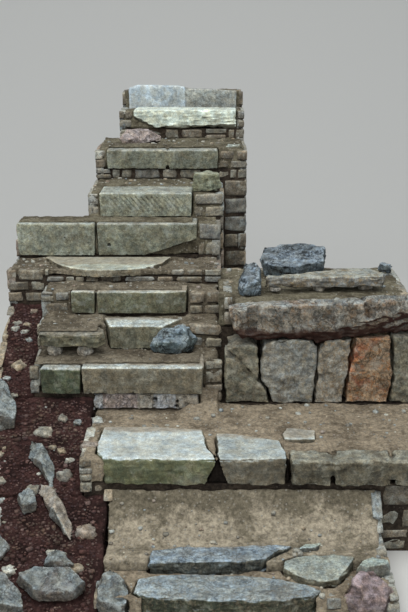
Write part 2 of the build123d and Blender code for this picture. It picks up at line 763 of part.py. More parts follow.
def coursed_face(name, plane, start, end, across="X", rakes=False):
    """Open joints in an outer face of a rubble node: level beds, and staggered upright joints.

    The face lies across X or Y at the plane, and runs from start to end along the other one.
    """
    top = nodes[name].bounding_box().max.Z
    levels = [0, *range(COURSE, ceil(top) - LEAST_STONE, COURSE)]

    def cutter(along, z, depth, length, height):
        edge = depth * sqrt(2)
        place = Pos(plane, along, z) if across == "X" else Pos(along, plane, z)
        if height:
            return place * Rot(0, 0, 45) * Box(edge, edge, height)
        if across == "X":
            return place * Rot(0, 45, 0) * Box(edge, length, edge)
        return place * Rot(45, 0, 0) * Box(length, edge, edge)

    def first_place(z):
        """Where a raking face is tall enough for a joint at this height."""
        return max(start, from_front((z + LEAST_STONE - CHEEK_LOW) / CHEEK_SLOPE)) if rakes else start

    cutters = []
    for z in levels[1:]:
        first = first_place(z)
        if first < end - LEAST_STONE:
            cutters.append(cutter((first + end) / 2, z, BED_JOINT, end - first, 0))
    for course, low in enumerate(levels):
        high = levels[course + 1] if course + 1 < len(levels) else top + LEAST_STONE
        for index in range(floor(start / STONE_PITCH) - 1, ceil(end / STONE_PITCH) + 1):
            along = joint_place(course, index)
            if max(start + LEAST_STONE, first_place(low)) < along < end - LEAST_STONE:
                cutters.append(cutter(along, (low + high) / 2, UPRIGHT_JOINT, 0, high - low))
    nodes[name] = nodes[name] - cutters


# Courses in the faces that the open sides and the back show
def rubble_faces():
    for name, back in (
        ("left_cheek_lower", bed_front(3)), ("left_cheek_middle", step_front(4) + SETBACK),
        ("left_cheek_upper", bed_front(7)),
    ):
        front = nodes[name].bounding_box().min.Y
        coursed_face(name, -LEFT_REACH, front, back, rakes=True)
    for number in range(7, STEPS + 1):
        coursed_face(
            f"rubble_bed_{number:02d}", BED_LEFT[number - 1], bed_front(number), bed_front(number + 1)
        )
    terrace_back = bed_front(4) + WING_DEPTH + TERRACE_DEPTH
    for number in (3, 8, 9, 10, 11):
        coursed_face(
            f"rubble_bed_{number:02d}", BED_RIGHT[number - 1], bed_front(number), bed_front(number + 1)
        )
    coursed_face("wing_footing", RIGHT_REACH, bed_front(4), bed_front(4) + WING_DEPTH)
    coursed_face("terrace_core", RIGHT_REACH, bed_front(4) + WING_DEPTH, terrace_back)
    coursed_face("terrace_core", terrace_back, BED_RIGHT[3], RIGHT_REACH, across="Y")
    coursed_face("rubble_bed_11", bed_front(12), BED_LEFT[10], BED_RIGHT[10], across="Y")
    coursed_face("rubble_bed_08", bed_front(9), BED_LEFT[7], BED_LEFT[8], across="Y")


rubble_beds()
left_cheek()
lowest_steps()
landing_step()
block_step()
fifth_step()
sixth_step()
seventh_step()
eighth_step()
ninth_step()
tenth_step()
top_step()
wing_wall()
terrace()
edge_boulders()
earth_treads()
rubble_faces()

for name, solid in nodes.items():
    export_step(solid, f"parts/{name}.step")
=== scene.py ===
# %% [markdown]
# # Old granite steps
#
# These are garden steps laid from reclaimed granite: split slabs and blocks for the nosings,
# packed earth for the treads, and dry-laid rubble for everything that carries them. The CAD
# frame gives each stone's place and size. This notebook gives each one its weathered surface,
# lays the small stones of the walls and shapes the worn earth.

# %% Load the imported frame
import json
import math
import random

import bpy
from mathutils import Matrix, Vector, noise
from mathutils.bvhtree import BVHTree

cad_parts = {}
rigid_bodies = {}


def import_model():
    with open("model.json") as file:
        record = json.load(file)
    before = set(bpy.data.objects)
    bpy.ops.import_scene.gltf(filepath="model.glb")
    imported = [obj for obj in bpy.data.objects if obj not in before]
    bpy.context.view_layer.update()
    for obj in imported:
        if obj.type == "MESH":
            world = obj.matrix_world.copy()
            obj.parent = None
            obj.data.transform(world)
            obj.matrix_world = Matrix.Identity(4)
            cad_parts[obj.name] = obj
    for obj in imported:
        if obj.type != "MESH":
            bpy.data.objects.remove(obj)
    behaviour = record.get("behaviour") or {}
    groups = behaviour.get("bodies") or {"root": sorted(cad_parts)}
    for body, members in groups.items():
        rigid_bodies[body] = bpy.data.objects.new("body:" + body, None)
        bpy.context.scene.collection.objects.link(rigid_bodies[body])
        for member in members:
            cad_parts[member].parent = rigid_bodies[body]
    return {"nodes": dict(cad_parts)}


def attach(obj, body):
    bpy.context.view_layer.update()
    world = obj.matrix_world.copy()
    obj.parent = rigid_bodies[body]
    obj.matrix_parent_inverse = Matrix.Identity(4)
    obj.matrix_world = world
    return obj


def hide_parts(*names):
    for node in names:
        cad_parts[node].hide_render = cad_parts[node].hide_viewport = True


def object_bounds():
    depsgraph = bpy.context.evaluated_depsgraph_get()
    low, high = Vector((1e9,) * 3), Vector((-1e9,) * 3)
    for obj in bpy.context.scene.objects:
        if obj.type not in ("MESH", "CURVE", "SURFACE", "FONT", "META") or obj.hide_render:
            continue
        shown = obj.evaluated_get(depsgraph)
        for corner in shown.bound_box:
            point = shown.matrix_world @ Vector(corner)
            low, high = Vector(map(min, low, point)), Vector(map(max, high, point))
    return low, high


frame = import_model()
cad_low, cad_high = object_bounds()
nodes = frame["nodes"]
print("nodes", len(nodes), "box", [round(value, 3) for value in (*cad_low, *cad_high)])

# %% [markdown]
# ## The camera
#
# The steps were photographed from in front of their foot, a little higher than their top, with
# a lens a little longer than normal, tilted down by 17 degrees. The camera comes first, because
# every later choice is compared with the photograph through it.

# %% Camera in front of the steps
IMAGE_HEIGHT = 612
FOCAL_PIXELS = 1000
SENSOR_SIZE = 36
CAMERA_PLACE = (0.0, -4.79, 3.215)
DEGREES_DOWN = 17

bpy.ops.object.camera_add(location=CAMERA_PLACE, rotation=(math.radians(90 - DEGREES_DOWN), 0, 0))
camera = bpy.context.object
camera.name = "front_camera"
camera.data.sensor_width = SENSOR_SIZE
camera.data.lens = FOCAL_PIXELS / IMAGE_HEIGHT * SENSOR_SIZE
bpy.context.scene.camera = camera
print("lens", round(camera.data.lens, 1), "mm")

# %% [markdown]
# ## Choosing what an operator acts on
#
# Operators act on the selection. One small helper selects a single object and makes it
# active, so that nothing else is touched.


# %% Selecting one object
def only(piece):
    """Select one object and make it active."""
    bpy.ops.object.select_all(action="DESELECT")
    piece.select_set(True)
    bpy.context.view_layer.objects.active = piece
    return piece


def apply_modifiers(piece):
    """Apply every modifier of a piece, in order."""
    only(piece)
    for modifier in list(piece.modifiers):
        bpy.ops.object.modifier_apply(modifier=modifier.name)
    return piece


# %% [markdown]
# ## Stone that shows its grain
#
# Weathered granite is never one colour. Feet keep the upper faces pale and clean, soil and
# rain stain the upright faces brown, lichen settles in blots, and the crystals speckle all
# of it. The paler tops and darker sides also carry painted light and painted shade, and
# undersides, low bands and hollows get painted shade, edges a painted highlight. A node
# group makes these layers once, and each stone's material gives it its own colours. The group
# reads Object coordinates, so the pattern is fixed to the stone.

# %% Short ways to add shader nodes
MIX_FACTOR, MIX_FIRST, MIX_SECOND, MIX_RESULT = 0, 6, 7, 2


def set_inputs(tree, node, inputs):
    """Link each input that is given a socket, and set the others to their values."""
    for place, value in inputs.items():
        if isinstance(value, bpy.types.NodeSocket):
            tree.links.new(value, node.inputs[place])
        else:
            node.inputs[place].default_value = value


def add_node(tree, kind, inputs=None, **settings):
    """Add a shader node with its settings and inputs."""
    node = tree.nodes.new("ShaderNode" + kind)
    for name, value in settings.items():
        setattr(node, name, value)
    set_inputs(tree, node, inputs or {})
    return node


def ramp(tree, source, low, high):
    """Stretch the values from low to high over 0 to 1, with soft ends."""
    inputs = {"Value": source, "From Min": low, "From Max": high}
    return add_node(tree, "MapRange", inputs, interpolation_type="SMOOTHSTEP").outputs["Result"]


def mix(tree, factor, first, second, blend="MIX"):
    """Mix two colours through the colour sockets of a Mix node."""
    inputs = {MIX_FACTOR: factor, MIX_FIRST: first, MIX_SECOND: second}
    return add_node(tree, "Mix", inputs, data_type="RGBA", blend_type=blend).outputs[MIX_RESULT]


def noise_value(tree, vector, scale, detail=4, roughness=0.6, distortion=0):
    """A noise texture's value."""
    inputs = {"Vector": vector, "Scale": scale, "Detail": detail, "Roughness": roughness,
              "Distortion": distortion}
    return add_node(tree, "TexNoise", inputs).outputs["Fac"]


def math_node(tree, operation, first, second):
    """A math node on two values, either of them a socket or a number."""
    return add_node(tree, "Math", {0: first, 1: second}, operation=operation).outputs[0]


def times(tree, first, second):
    """The product of two values."""
    return math_node(tree, "MULTIPLY", first, second)


def scaled(tree, vector, scale):
    """Coordinates stretched or squeezed along each axis."""
    return add_node(tree, "Mapping", {"Vector": vector, "Scale": scale}).outputs["Vector"]


def axes_of(tree, vector):
    """The X, Y and Z of a vector."""
    return add_node(tree, "SeparateXYZ", {0: vector}).outputs


def shaded(tree, color, mask, dark, light, factor=1.0):
    """Multiply a colour by a grey that runs from dark to light with a mask."""
    shade = mix(tree, mask, (dark, dark, dark, 1), (light, light, light, 1))
    return mix(tree, factor, color, shade, "MULTIPLY")


# %% Node group for weathered stone
STONE_INPUTS = (
    "Vector", "Top Color", "Side Color", "Under Color", "Stain Color", "Stain", "Lichen Color", "Lichen",
    "Fleck Color", "Flecks", "Streak", "Cracks", "Mottle", "Damp Below", "Dust", "Dust From",
)
DUST_COLOR = (0.33, 0.275, 0.2, 1)


def make_stone_group():
    """The shared layers of weathered granite."""
    group = bpy.data.node_groups.new("weathered_stone", "ShaderNodeTree")
    for way, names in (("INPUT", STONE_INPUTS), ("OUTPUT", ("Color", "Roughness", "Height"))):
        for name in names:
            kind = "Vector" if name == "Vector" else "Color" if name.endswith("Color") else "Float"
            group.interface.new_socket(name=name, in_out=way, socket_type="NodeSocket" + kind)
    given = group.nodes.new("NodeGroupInput").outputs
    vector = given["Vector"]

    # Worn, paler tops and stained, darker sides, with painted light on tops and painted shade on sides
    geometry = add_node(group, "NewGeometry").outputs
    facing = axes_of(group, geometry["Normal"])
    broad = noise_value(group, vector, 7, detail=6)
    upward = math_node(group, "ADD", facing["Z"], times(group, broad, 0.4))
    top_mask = ramp(group, upward, 0.5, 0.95)
    color = mix(group, top_mask, given["Side Color"], given["Top Color"])
    color = shaded(group, color, ramp(group, broad, 0.34, 0.66), 0.74, 1.2)

    # Streaks along the length, and stains of soil
    layers = noise_value(group, scaled(group, vector, (3, 22, 34)), 1.6, detail=7, roughness=0.7,
                         distortion=0.8)
    color = shaded(group, color, ramp(group, layers, 0.36, 0.64), 0.62, 1.3, given["Streak"])
    blots = noise_value(group, vector, 3.4, detail=8, roughness=0.7, distortion=0.6)
    stain_mask = times(group, ramp(group, blots, 0.5, 0.64), given["Stain"])
    color = mix(group, stain_mask, color, given["Stain Color"])

    # Mottle, speckle, warm and cool patches, flecks and crystals
    mottle = noise_value(group, vector, 24, detail=7, roughness=0.76)
    color = shaded(group, color, ramp(group, mottle, 0.36, 0.64), 0.62, 1.42, given["Mottle"])
    speckle = noise_value(group, vector, 78, detail=4, roughness=0.8)
    color = shaded(group, color, ramp(group, speckle, 0.34, 0.66), 0.68, 1.38, given["Mottle"])
    hue = ramp(group, noise_value(group, vector, 17, detail=6, roughness=0.7), 0.4, 0.6)
    warm_cool = mix(group, hue, (1.05, 1.0, 0.93, 1), (0.95, 1.0, 1.06, 1))
    color = mix(group, 1.0, color, warm_cool, "MULTIPLY")
    fleck_noise = noise_value(group, vector, 40, detail=6, roughness=0.78, distortion=0.4)
    fleck_mask = times(group, ramp(group, fleck_noise, 0.52, 0.58), given["Flecks"])
    color = mix(group, fleck_mask, color, given["Fleck Color"])
    crystals = add_node(group, "TexVoronoi", {"Vector": vector, "Scale": 190}).outputs["Color"]
    grains = add_node(group, "SeparateColor", {0: crystals}).outputs["Red"]
    color = shaded(group, color, grains, 0.8, 1.18)

    # Lichen and cracks
    patches = noise_value(group, vector, 14, detail=7, roughness=0.74, distortion=0.3)
    lichen_mask = times(group, ramp(group, patches, 0.54, 0.6), given["Lichen"])
    color = mix(group, lichen_mask, color, given["Lichen Color"])
    seams = noise_value(group, vector, 8, detail=5, roughness=0.6, distortion=0.7)
    off_seam = math_node(group, "ABSOLUTE", math_node(group, "SUBTRACT", seams, 0.5), 0)
    color = shaded(group, color, ramp(group, off_seam, 0.004, 0.03), 0.2, 1.0, given["Cracks"])

    # Painted shade on undersides and below a height, and dust behind a place along Y
    downward = times(group, facing["Z"], -1)
    color = mix(group, ramp(group, downward, 0.35, 0.6), color, given["Under Color"])
    place = axes_of(group, vector)
    shade_edge = math_node(group, "ADD", given["Damp Below"], times(group, blots, 0.12))
    damp_and_shade = ramp(group, math_node(group, "SUBTRACT", shade_edge, place["Z"]), 0.03, 0.075)
    color = mix(group, times(group, damp_and_shade, 0.85), color, given["Under Color"])
    wander = times(group, math_node(group, "SUBTRACT", blots, 0.5), 0.2)
    behind = math_node(group, "SUBTRACT", place["Y"], given["Dust From"])
    dusty = ramp(group, math_node(group, "ADD", behind, wander), 0.0, 0.045)
    dusty = times(group, times(group, dusty, top_mask), given["Dust"])
    dust = shaded(group, DUST_COLOR, ramp(group, mottle, 0.36, 0.64), 0.72, 1.24)
    color = mix(group, dusty, color, dust)

    # Paler worn edges with a painted highlight, and painted shade in hollows
    color = shaded(group, color, ramp(group, geometry["Pointiness"], 0.44, 0.57), 0.6, 1.24)

    height = math_node(group, "ADD", times(group, speckle, 0.35), mottle)
    rough = math_node(group, "ADD", times(group, mottle, 0.16), 0.78)
    end = group.nodes.new("NodeGroupOutput")
    set_inputs(group, end, {"Color": color, "Roughness": rough, "Height": height})
    return group


stone_group = make_stone_group()
print("stone group nodes", len(stone_group.nodes))


# %% Stone as a material
def new_material(name):
    """A new material and its node tree."""
    material = bpy.data.materials.new(name)
    material.use_nodes = True
    return material, material.node_tree


def join_shader(tree, color, roughness, specular, height, distance, strength):
    """Join a colour and a relief to the shader of a material."""
    relief = add_node(tree, "Bump", {"Height": height, "Distance": distance, "Strength": strength})
    set_inputs(tree, tree.nodes["Principled BSDF"], {
        "Base Color": color, "Roughness": roughness, "Specular IOR Level": specular,
        "Normal": relief.outputs["Normal"],
    })


def granite(name, top, side, stain, stain_amount, lichen=(0.46, 0.47, 0.4), lichen_amount=0.2,
            streak=0.15, bump=0.018, fleck=(0.3, 0.24, 0.16), flecks=0.2, cracks=0.0,
            under_shade=(0.035, 0.028, 0.022), dust=0.0, dust_from=0.0, mottle=0.85, shade_below=-1.0):
    """A weathered stone in its own colours, dusty behind one Y, with painted shade below one height."""
    material, tree = new_material(name)
    layers = add_node(tree, "Group", {
        "Vector": add_node(tree, "TexCoord").outputs["Object"], "Top Color": (*top, 1),
        "Side Color": (*side, 1), "Under Color": (*under_shade, 1), "Stain Color": (*stain, 1),
        "Stain": stain_amount, "Lichen Color": (*lichen, 1), "Lichen": lichen_amount,
        "Fleck Color": (*fleck, 1), "Flecks": flecks, "Streak": streak, "Cracks": cracks,
        "Mottle": mottle, "Damp Below": shade_below, "Dust": dust, "Dust From": dust_from,
    }, node_tree=stone_group).outputs
    join_shader(tree, layers["Color"], layers["Roughness"], 0.25, layers["Height"], bump, 0.9)
    return material


# %% Finishes of the stones
# Top and side colours: paler tops and darker sides, partly wear and stain, partly painted light on the tops
# and painted shade on the sides.
soil_stain = (0.13, 0.11, 0.08)
pale_lichen = (0.42, 0.46, 0.42)
finishes = {
    "natural": granite(
        "grey_blue_natural_slab", (0.32, 0.38, 0.4), (0.058, 0.065, 0.043), soil_stain, 0.35,
        streak=0.4, flecks=0.35, cracks=0.5, dust=0.5, dust_from=0.07),
    "bluish": granite(
        "bluish_streaked_slab", (0.3, 0.375, 0.43), (0.09, 0.1, 0.09), soil_stain, 0.3,
        streak=0.6, flecks=0.2, cracks=0.6, dust=0.4, dust_from=0.3),
    "side slab": granite("pale_side_slab", (0.36, 0.41, 0.375), (0.16, 0.16, 0.12), soil_stain, 0.3),
    "white": granite("whitish_stone", (0.4, 0.48, 0.44), (0.19, 0.2, 0.18), soil_stain, 0.25),
    "pink": granite(
        "pink_boulder", (0.34, 0.265, 0.27), (0.24, 0.185, 0.185), soil_stain, 0.3, (0.42, 0.38, 0.38), 0.3),
    "palest": granite(
        "palest_worn_slab", (0.505, 0.56, 0.545), (0.143, 0.155, 0.088), (0.36, 0.34, 0.27), 0.35,
        lichen_amount=0.05, streak=0.1, flecks=0.05, dust=0.7, dust_from=0.96, bump=0.01, mottle=0.45),
    "pale": granite(
        "pale_worn_slab", (0.43, 0.48, 0.465), (0.153, 0.139, 0.104), (0.3, 0.28, 0.22), 0.4,
        lichen_amount=0.05, streak=0.1, flecks=0.1, dust=0.6, dust_from=0.86, bump=0.012, mottle=0.55),
    "kerb": granite("kerb_stone", (0.27, 0.27, 0.22), (0.145, 0.135, 0.1), soil_stain, 0.6),
    "block": granite(
        "brown_front_block", (0.52, 0.57, 0.54), (0.196, 0.178, 0.13), soil_stain, 0.3,
        streak=0.05, dust=0.85, dust_from=1.345),
    "middle block": granite(
        "middle_step_block", (0.46, 0.49, 0.44), (0.153, 0.158, 0.105), soil_stain, 0.35, pale_lichen, 0.3,
        dust=0.8, dust_from=1.94),
    "dark block": granite(
        "dark_end_block", (0.42, 0.45, 0.42), (0.085, 0.102, 0.064), soil_stain, 0.5, dust=0.8,
        dust_from=1.35),
    "soiled": granite("soiled_block", (0.22, 0.21, 0.17), (0.15, 0.145, 0.1), soil_stain, 0.6),
    "bright block": granite(
        "bright_topped_block", (0.55, 0.61, 0.58), (0.19, 0.185, 0.13), soil_stain, 0.35,
        streak=0.05, dust=0.6, dust_from=1.77),
    "tread": granite(
        "sandy_tread_slab", (0.495, 0.535, 0.455), (0.19, 0.17, 0.12), (0.38, 0.34, 0.25), 0.5,
        streak=0.1, dust=0.6, dust_from=2.26, bump=0.012, mottle=0.5),
    "tooled": granite(
        "tooled_block", (0.37, 0.385, 0.34), (0.215, 0.225, 0.17), soil_stain, 0.35, pale_lichen, 0.35),
    "pale tooled": granite(
        "pale_tooled_block", (0.4, 0.43, 0.38), (0.29, 0.305, 0.235), soil_stain, 0.3, pale_lichen, 0.45),
    "cream": granite(
        "cream_rough_slab", (0.78, 0.86, 0.77), (0.76, 0.84, 0.72), (0.4, 0.39, 0.31), 0.3,
        lichen_amount=0.05, flecks=0.05, under_shade=(0.3, 0.3, 0.24), bump=0.012, mottle=0.4),
    "upright": granite(
        "bluish_white_upright", (0.54, 0.61, 0.63), (0.53, 0.605, 0.64), (0.36, 0.4, 0.4), 0.35,
        lichen_amount=0.1, flecks=0.05, cracks=0.3, bump=0.01, mottle=0.4),
    "grey upright": granite(
        "grey_upright", (0.4, 0.42, 0.4), (0.33, 0.35, 0.33), (0.2, 0.19, 0.15), 0.5, pale_lichen, 0.3),
    "blue rock": granite(
        "blue_grey_rock", (0.225, 0.285, 0.32), (0.085, 0.115, 0.12), soil_stain, 0.3,
        (0.34, 0.39, 0.42), 0.35, flecks=0.1, cracks=0.9),
    "terrace rock": granite(
        "violet_grey_rock", (0.245, 0.3, 0.345), (0.11, 0.14, 0.155), (0.05, 0.06, 0.062), 0.6,
        (0.36, 0.42, 0.47), 0.5, flecks=0.1, cracks=1.0),
    "bank rock": granite(
        "bank_rock", (0.245, 0.28, 0.28), (0.125, 0.125, 0.115), (0.09, 0.055, 0.045), 0.5,
        (0.4, 0.44, 0.43), 0.55, cracks=0.6, bump=0.022),
    "buff rock": granite(
        "buff_ridge_rock", (0.42, 0.385, 0.33), (0.27, 0.235, 0.205), (0.12, 0.08, 0.07), 0.4,
        (0.46, 0.46, 0.42), 0.4, flecks=0.3, cracks=0.5, bump=0.022),
    # The cap gets painted shade on its underside and below a height of 1.14.
    "cap": granite(
        "rusty_capstone", (0.31, 0.33, 0.315), (0.25, 0.235, 0.2), (0.26, 0.14, 0.065), 0.5,
        (0.38, 0.39, 0.36), 0.45, bump=0.026, fleck=(0.27, 0.16, 0.075), flecks=0.5, cracks=0.7,
        under_shade=(0.05, 0.02, 0.014), mottle=1.0, shade_below=1.14),
    "wall": granite(
        "grey_wall_stone", (0.33, 0.34, 0.3), (0.31, 0.315, 0.285), (0.2, 0.16, 0.11), 0.5,
        (0.42, 0.44, 0.41), 0.45, bump=0.024, fleck=(0.34, 0.27, 0.16), flecks=0.5, cracks=0.3),
    "warm wall": granite(
        "warm_wall_stone", (0.33, 0.32, 0.27), (0.32, 0.3, 0.25), (0.22, 0.155, 0.1), 0.5,
        (0.42, 0.42, 0.37), 0.45, bump=0.024, fleck=(0.36, 0.25, 0.13), flecks=0.6, cracks=0.4),
    "dark wall": granite(
        "brownish_wall_stone", (0.26, 0.255, 0.21), (0.21, 0.205, 0.155), soil_stain, 0.5,
        (0.4, 0.37, 0.3), 0.4, bump=0.024, flecks=0.5, cracks=0.4),
    "end stone": granite(
        "olive_grey_stone", (0.27, 0.29, 0.22), (0.21, 0.225, 0.155), soil_stain, 0.4, pale_lichen, 0.3),
    "rust": granite(
        "rust_coloured_stone", (0.38, 0.31, 0.22), (0.36, 0.265, 0.175), (0.3, 0.08, 0.035), 0.85,
        (0.38, 0.35, 0.29), 0.6, bump=0.026, fleck=(0.42, 0.18, 0.06), flecks=0.7, cracks=0.7, mottle=1.0),
    "terrace": granite(
        "terrace_slab", (0.37, 0.39, 0.35), (0.26, 0.26, 0.24), (0.2, 0.15, 0.08), 0.5,
        (0.42, 0.44, 0.42), 0.4, fleck=(0.34, 0.23, 0.09), flecks=0.5, cracks=0.3),
    "purple": granite(
        "purple_brown_stone", (0.46, 0.4, 0.385), (0.47, 0.4, 0.375), soil_stain, 0.3, cracks=0.7),
    "blue chip": granite(
        "blue_grey_chip", (0.54, 0.57, 0.58), (0.56, 0.58, 0.59), soil_stain, 0.3, cracks=0.7),
    "grey chip": granite(
        "grey_chip", (0.46, 0.44, 0.385), (0.48, 0.45, 0.385), soil_stain, 0.35, cracks=0.6),
}
print("finishes", len(finishes))

# %% [markdown]
# ## Packed earth
#
# The treads are sandy soil beaten hard by feet: pale where it is dry, darker in the hollows,
# with small stones pressed into it. The soil under the third step's slab and in the throats
# between stones gets painted shade.


# %% Material of the earth
def earth_material(name, dry, damp_and_shade, dry_share=0.5, shade_behind=None, pebble=(0.36, 0.34, 0.29)):
    """Soil in dry and damp patches with grit in it, with painted shade behind a place along Y."""
    material, tree = new_material(name)
    vector = add_node(tree, "TexCoord").outputs["Object"]
    broad = noise_value(tree, vector, 5, detail=8, roughness=0.7, distortion=0.3)
    if shade_behind is not None:
        depth = ramp(tree, axes_of(tree, vector)["Y"], shade_behind, shade_behind + 0.14)
        broad = math_node(tree, "SUBTRACT", broad, times(tree, depth, 0.14))
    color = mix(tree, ramp(tree, broad, dry_share - 0.1, dry_share + 0.08), (*damp_and_shade, 1), (*dry, 1))
    wash = noise_value(tree, scaled(tree, vector, (4, 7, 9)), 2, detail=8, roughness=0.75, distortion=0.5)
    color = shaded(tree, color, ramp(tree, wash, 0.38, 0.62), 0.84, 1.12)
    crumbs = noise_value(tree, vector, 42, detail=6, roughness=0.8)
    color = shaded(tree, color, ramp(tree, crumbs, 0.36, 0.64), 0.6, 1.3)
    grains = add_node(tree, "TexVoronoi", {"Vector": vector, "Scale": 55}).outputs
    chance = add_node(tree, "SeparateColor", {0: grains["Color"]}).outputs["Red"]
    near = math_node(tree, "LESS_THAN", grains["Distance"], 0.34)
    picked = math_node(tree, "GREATER_THAN", chance, 0.8)
    color = mix(tree, times(tree, times(tree, near, picked), 0.7), color, (*pebble, 1))
    join_shader(tree, color, 0.95, 0.15, crumbs, 0.02, 1.0)
    return material


sandy_earth = earth_material("sandy_earth", (0.37, 0.31, 0.225), (0.19, 0.155, 0.11), 0.47)
# The scoop gets painted shade behind Y 0.44, under the slab of the third step.
scoop_earth = earth_material("scoop_earth", (0.44, 0.385, 0.29), (0.2, 0.175, 0.125), 0.46, shade_behind=0.44)
middle_earth = earth_material("middle_earth", (0.24, 0.21, 0.155), (0.125, 0.105, 0.075))
upper_earth = earth_material("upper_earth", (0.22, 0.2, 0.14), (0.11, 0.095, 0.065))
bank_earth = earth_material("dark_bank_earth", (0.064, 0.031, 0.028), (0.024, 0.012, 0.011),
                            pebble=(0.13, 0.085, 0.075))
dark_earth = earth_material("dark_earth", (0.07, 0.054, 0.04), (0.03, 0.023, 0.018),
                            pebble=(0.09, 0.075, 0.06))
# Near-black soil for the throats between stones is painted shade.
throat_shade_earth = earth_material("shaded_earth", (0.022, 0.017, 0.013), (0.012, 0.009, 0.007),
                              pebble=(0.02, 0.016, 0.012))

# %% [markdown]
# ## Turning a plain solid into split stone
#
# A quarried block has flat beds but broken sides. Its CAD copy is merged, remeshed into small
# even faces and pushed in and out by textures of different sizes: lumps as broad as a hand,
# chips as broad as a thumb, and grit. Weights keep the worn tops smooth. Natural stones also
# split in layers: an empty that is squeezed in height flattens one texture into them. The copy
# replaces the CAD node on screen.


# %% Surface textures for displacement
def cloud_texture(name, size, depth=2, kind="CLOUDS"):
    """A procedural texture for a Displace modifier."""
    texture = bpy.data.textures.new(name, kind)
    texture.noise_scale = size
    if kind == "CLOUDS":
        texture.noise_depth = depth
    return texture


lumps = cloud_texture("stone_lumps", 0.16)
chips = cloud_texture("stone_chips", 0.05, depth=3)
facets = cloud_texture("stone_facets", 0.075, kind="VORONOI")
grit_texture = cloud_texture("stone_grit", 0.016)
split_layers = cloud_texture("stone_split_layers", 0.11, depth=3)

LAYER_SQUEEZE = 0.14
bpy.ops.object.empty_add(location=(0, 0, 0))
layer_guide = bpy.context.object
layer_guide.name = "layer_guide"
layer_guide.scale = (1, 1, LAYER_SQUEEZE)
bpy.context.view_layer.update()

# %% Roughening a piece
FACES_UP = 0.75


def displace(piece, texture, strength, middle, group="", guide=None):
    """Push a surface along its normals by a texture, which a guide object may squeeze."""
    if not strength:
        return
    modifier = piece.modifiers.new("displace", "DISPLACE")
    modifier.texture = texture
    modifier.texture_coords = "OBJECT" if guide else "LOCAL"
    modifier.texture_coords_object = guide
    modifier.strength = strength
    modifier.mid_level = middle
    modifier.vertex_group = group


def side_weights(piece, top_weight):
    """A vertex group that is full on upright and lower faces and light on worn tops."""
    group = piece.vertex_groups.new(name="sides")
    for vertex in piece.data.vertices:
        weight = top_weight if vertex.normal.z > FACES_UP else 1.0
        group.add([vertex.index], weight, "REPLACE")
    return group.name


def copy_of(node, ending):
    """A merged copy of a CAD node, whose own mesh stays as it is."""
    only(nodes[node])
    bpy.ops.object.duplicate()
    piece = bpy.context.object
    piece.name = node + ending
    bpy.ops.object.mode_set(mode="EDIT")
    bpy.ops.mesh.select_all(action="SELECT")
    bpy.ops.mesh.remove_doubles(threshold=0.0002)
    bpy.ops.object.mode_set(mode="OBJECT")
    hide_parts(node)
    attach(piece, "root")
    return piece


def kept_inside(piece):
    """Bring any point that a texture pushed past the whole part's box back onto it."""
    for vertex in piece.data.vertices:
        for axis in range(3):
            vertex.co[axis] = min(max(vertex.co[axis], cad_low[axis]), cad_high[axis])
    return piece


def weathered(piece, voxel, lump, chip, facet, smooth, top_weight, keep=0.5, grit=0.002, layer=0, wear=0):
    """Remesh a piece into small faces and roughen it as split, weathered stone."""
    remesh = piece.modifiers.new("remesh", "REMESH")
    remesh.mode = "VOXEL"
    remesh.voxel_size = voxel
    soften = piece.modifiers.new("soften", "SMOOTH")
    soften.factor = 0.5
    soften.iterations = smooth
    apply_modifiers(piece)
    group = side_weights(piece, top_weight)
    displace(piece, None, -wear, 0, group)
    displace(piece, lumps, lump, 0.6, group)
    displace(piece, facets, facet, 0.5, group)
    displace(piece, split_layers, layer, 0.6, group, guide=layer_guide)
    displace(piece, chips, chip, 0.6, group)
    displace(piece, grit_texture, grit, 0.6)
    thin = piece.modifiers.new("thin", "DECIMATE")
    thin.ratio = keep
    apply_modifiers(piece)
    bpy.ops.object.shade_smooth()
    return kept_inside(piece)


def finish_with(piece, *materials):
    """Give a piece its materials."""
    piece.data.materials.clear()
    for material in materials:
        piece.data.materials.append(material)
    return piece


# %% [markdown]
# ## The stones one by one
#
# A few ways of working cover every stone: sawn or tooled blocks keep crisp arrises, natural
# slabs ripple, worn slabs are smooth on top, wall stones are coarse, and rocks are broken
# all over.

# %% Ways of working a stone
WORKED = {
    "squared": dict(voxel=0.0075, lump=0.010, chip=0.009, facet=0.004, smooth=1, top_weight=0.5),
    "grooved": dict(voxel=0.005, lump=0.006, chip=0.005, facet=0.002, smooth=0, top_weight=0.5),
    "natural": dict(voxel=0.0075, lump=0.03, chip=0.015, facet=0.01, smooth=3, top_weight=0.45, layer=0.02),
    "worn": dict(voxel=0.0075, lump=0.024, chip=0.014, facet=0.008, smooth=2, top_weight=0.12, layer=0.01),
    "wall": dict(voxel=0.0085, lump=0.036, chip=0.018, facet=0.012, smooth=6, top_weight=0.8, layer=0.01,
                 wear=0.002),
    "cap": dict(voxel=0.0085, lump=0.034, chip=0.022, facet=0.018, smooth=1, top_weight=0.8, layer=0.012),
    "rock": dict(voxel=0.0085, lump=0.034, chip=0.02, facet=0.022, smooth=1, top_weight=0.9, layer=0.016),
    "ridge": dict(voxel=0.0085, lump=0.018, chip=0.014, facet=0.008, smooth=4, top_weight=0.9, layer=0.008),
    "small": dict(voxel=0.0055, lump=0.014, chip=0.01, facet=0.008, smooth=1, top_weight=0.8),
    "wedged": dict(voxel=0.0045, lump=0.024, chip=0.014, facet=0.014, smooth=9, top_weight=0.8, wear=0.006),
}


def worked(node, way):
    """A stone of the frame, worked in one of the ways."""
    return weathered(copy_of(node, "_stone"), **WORKED[way])


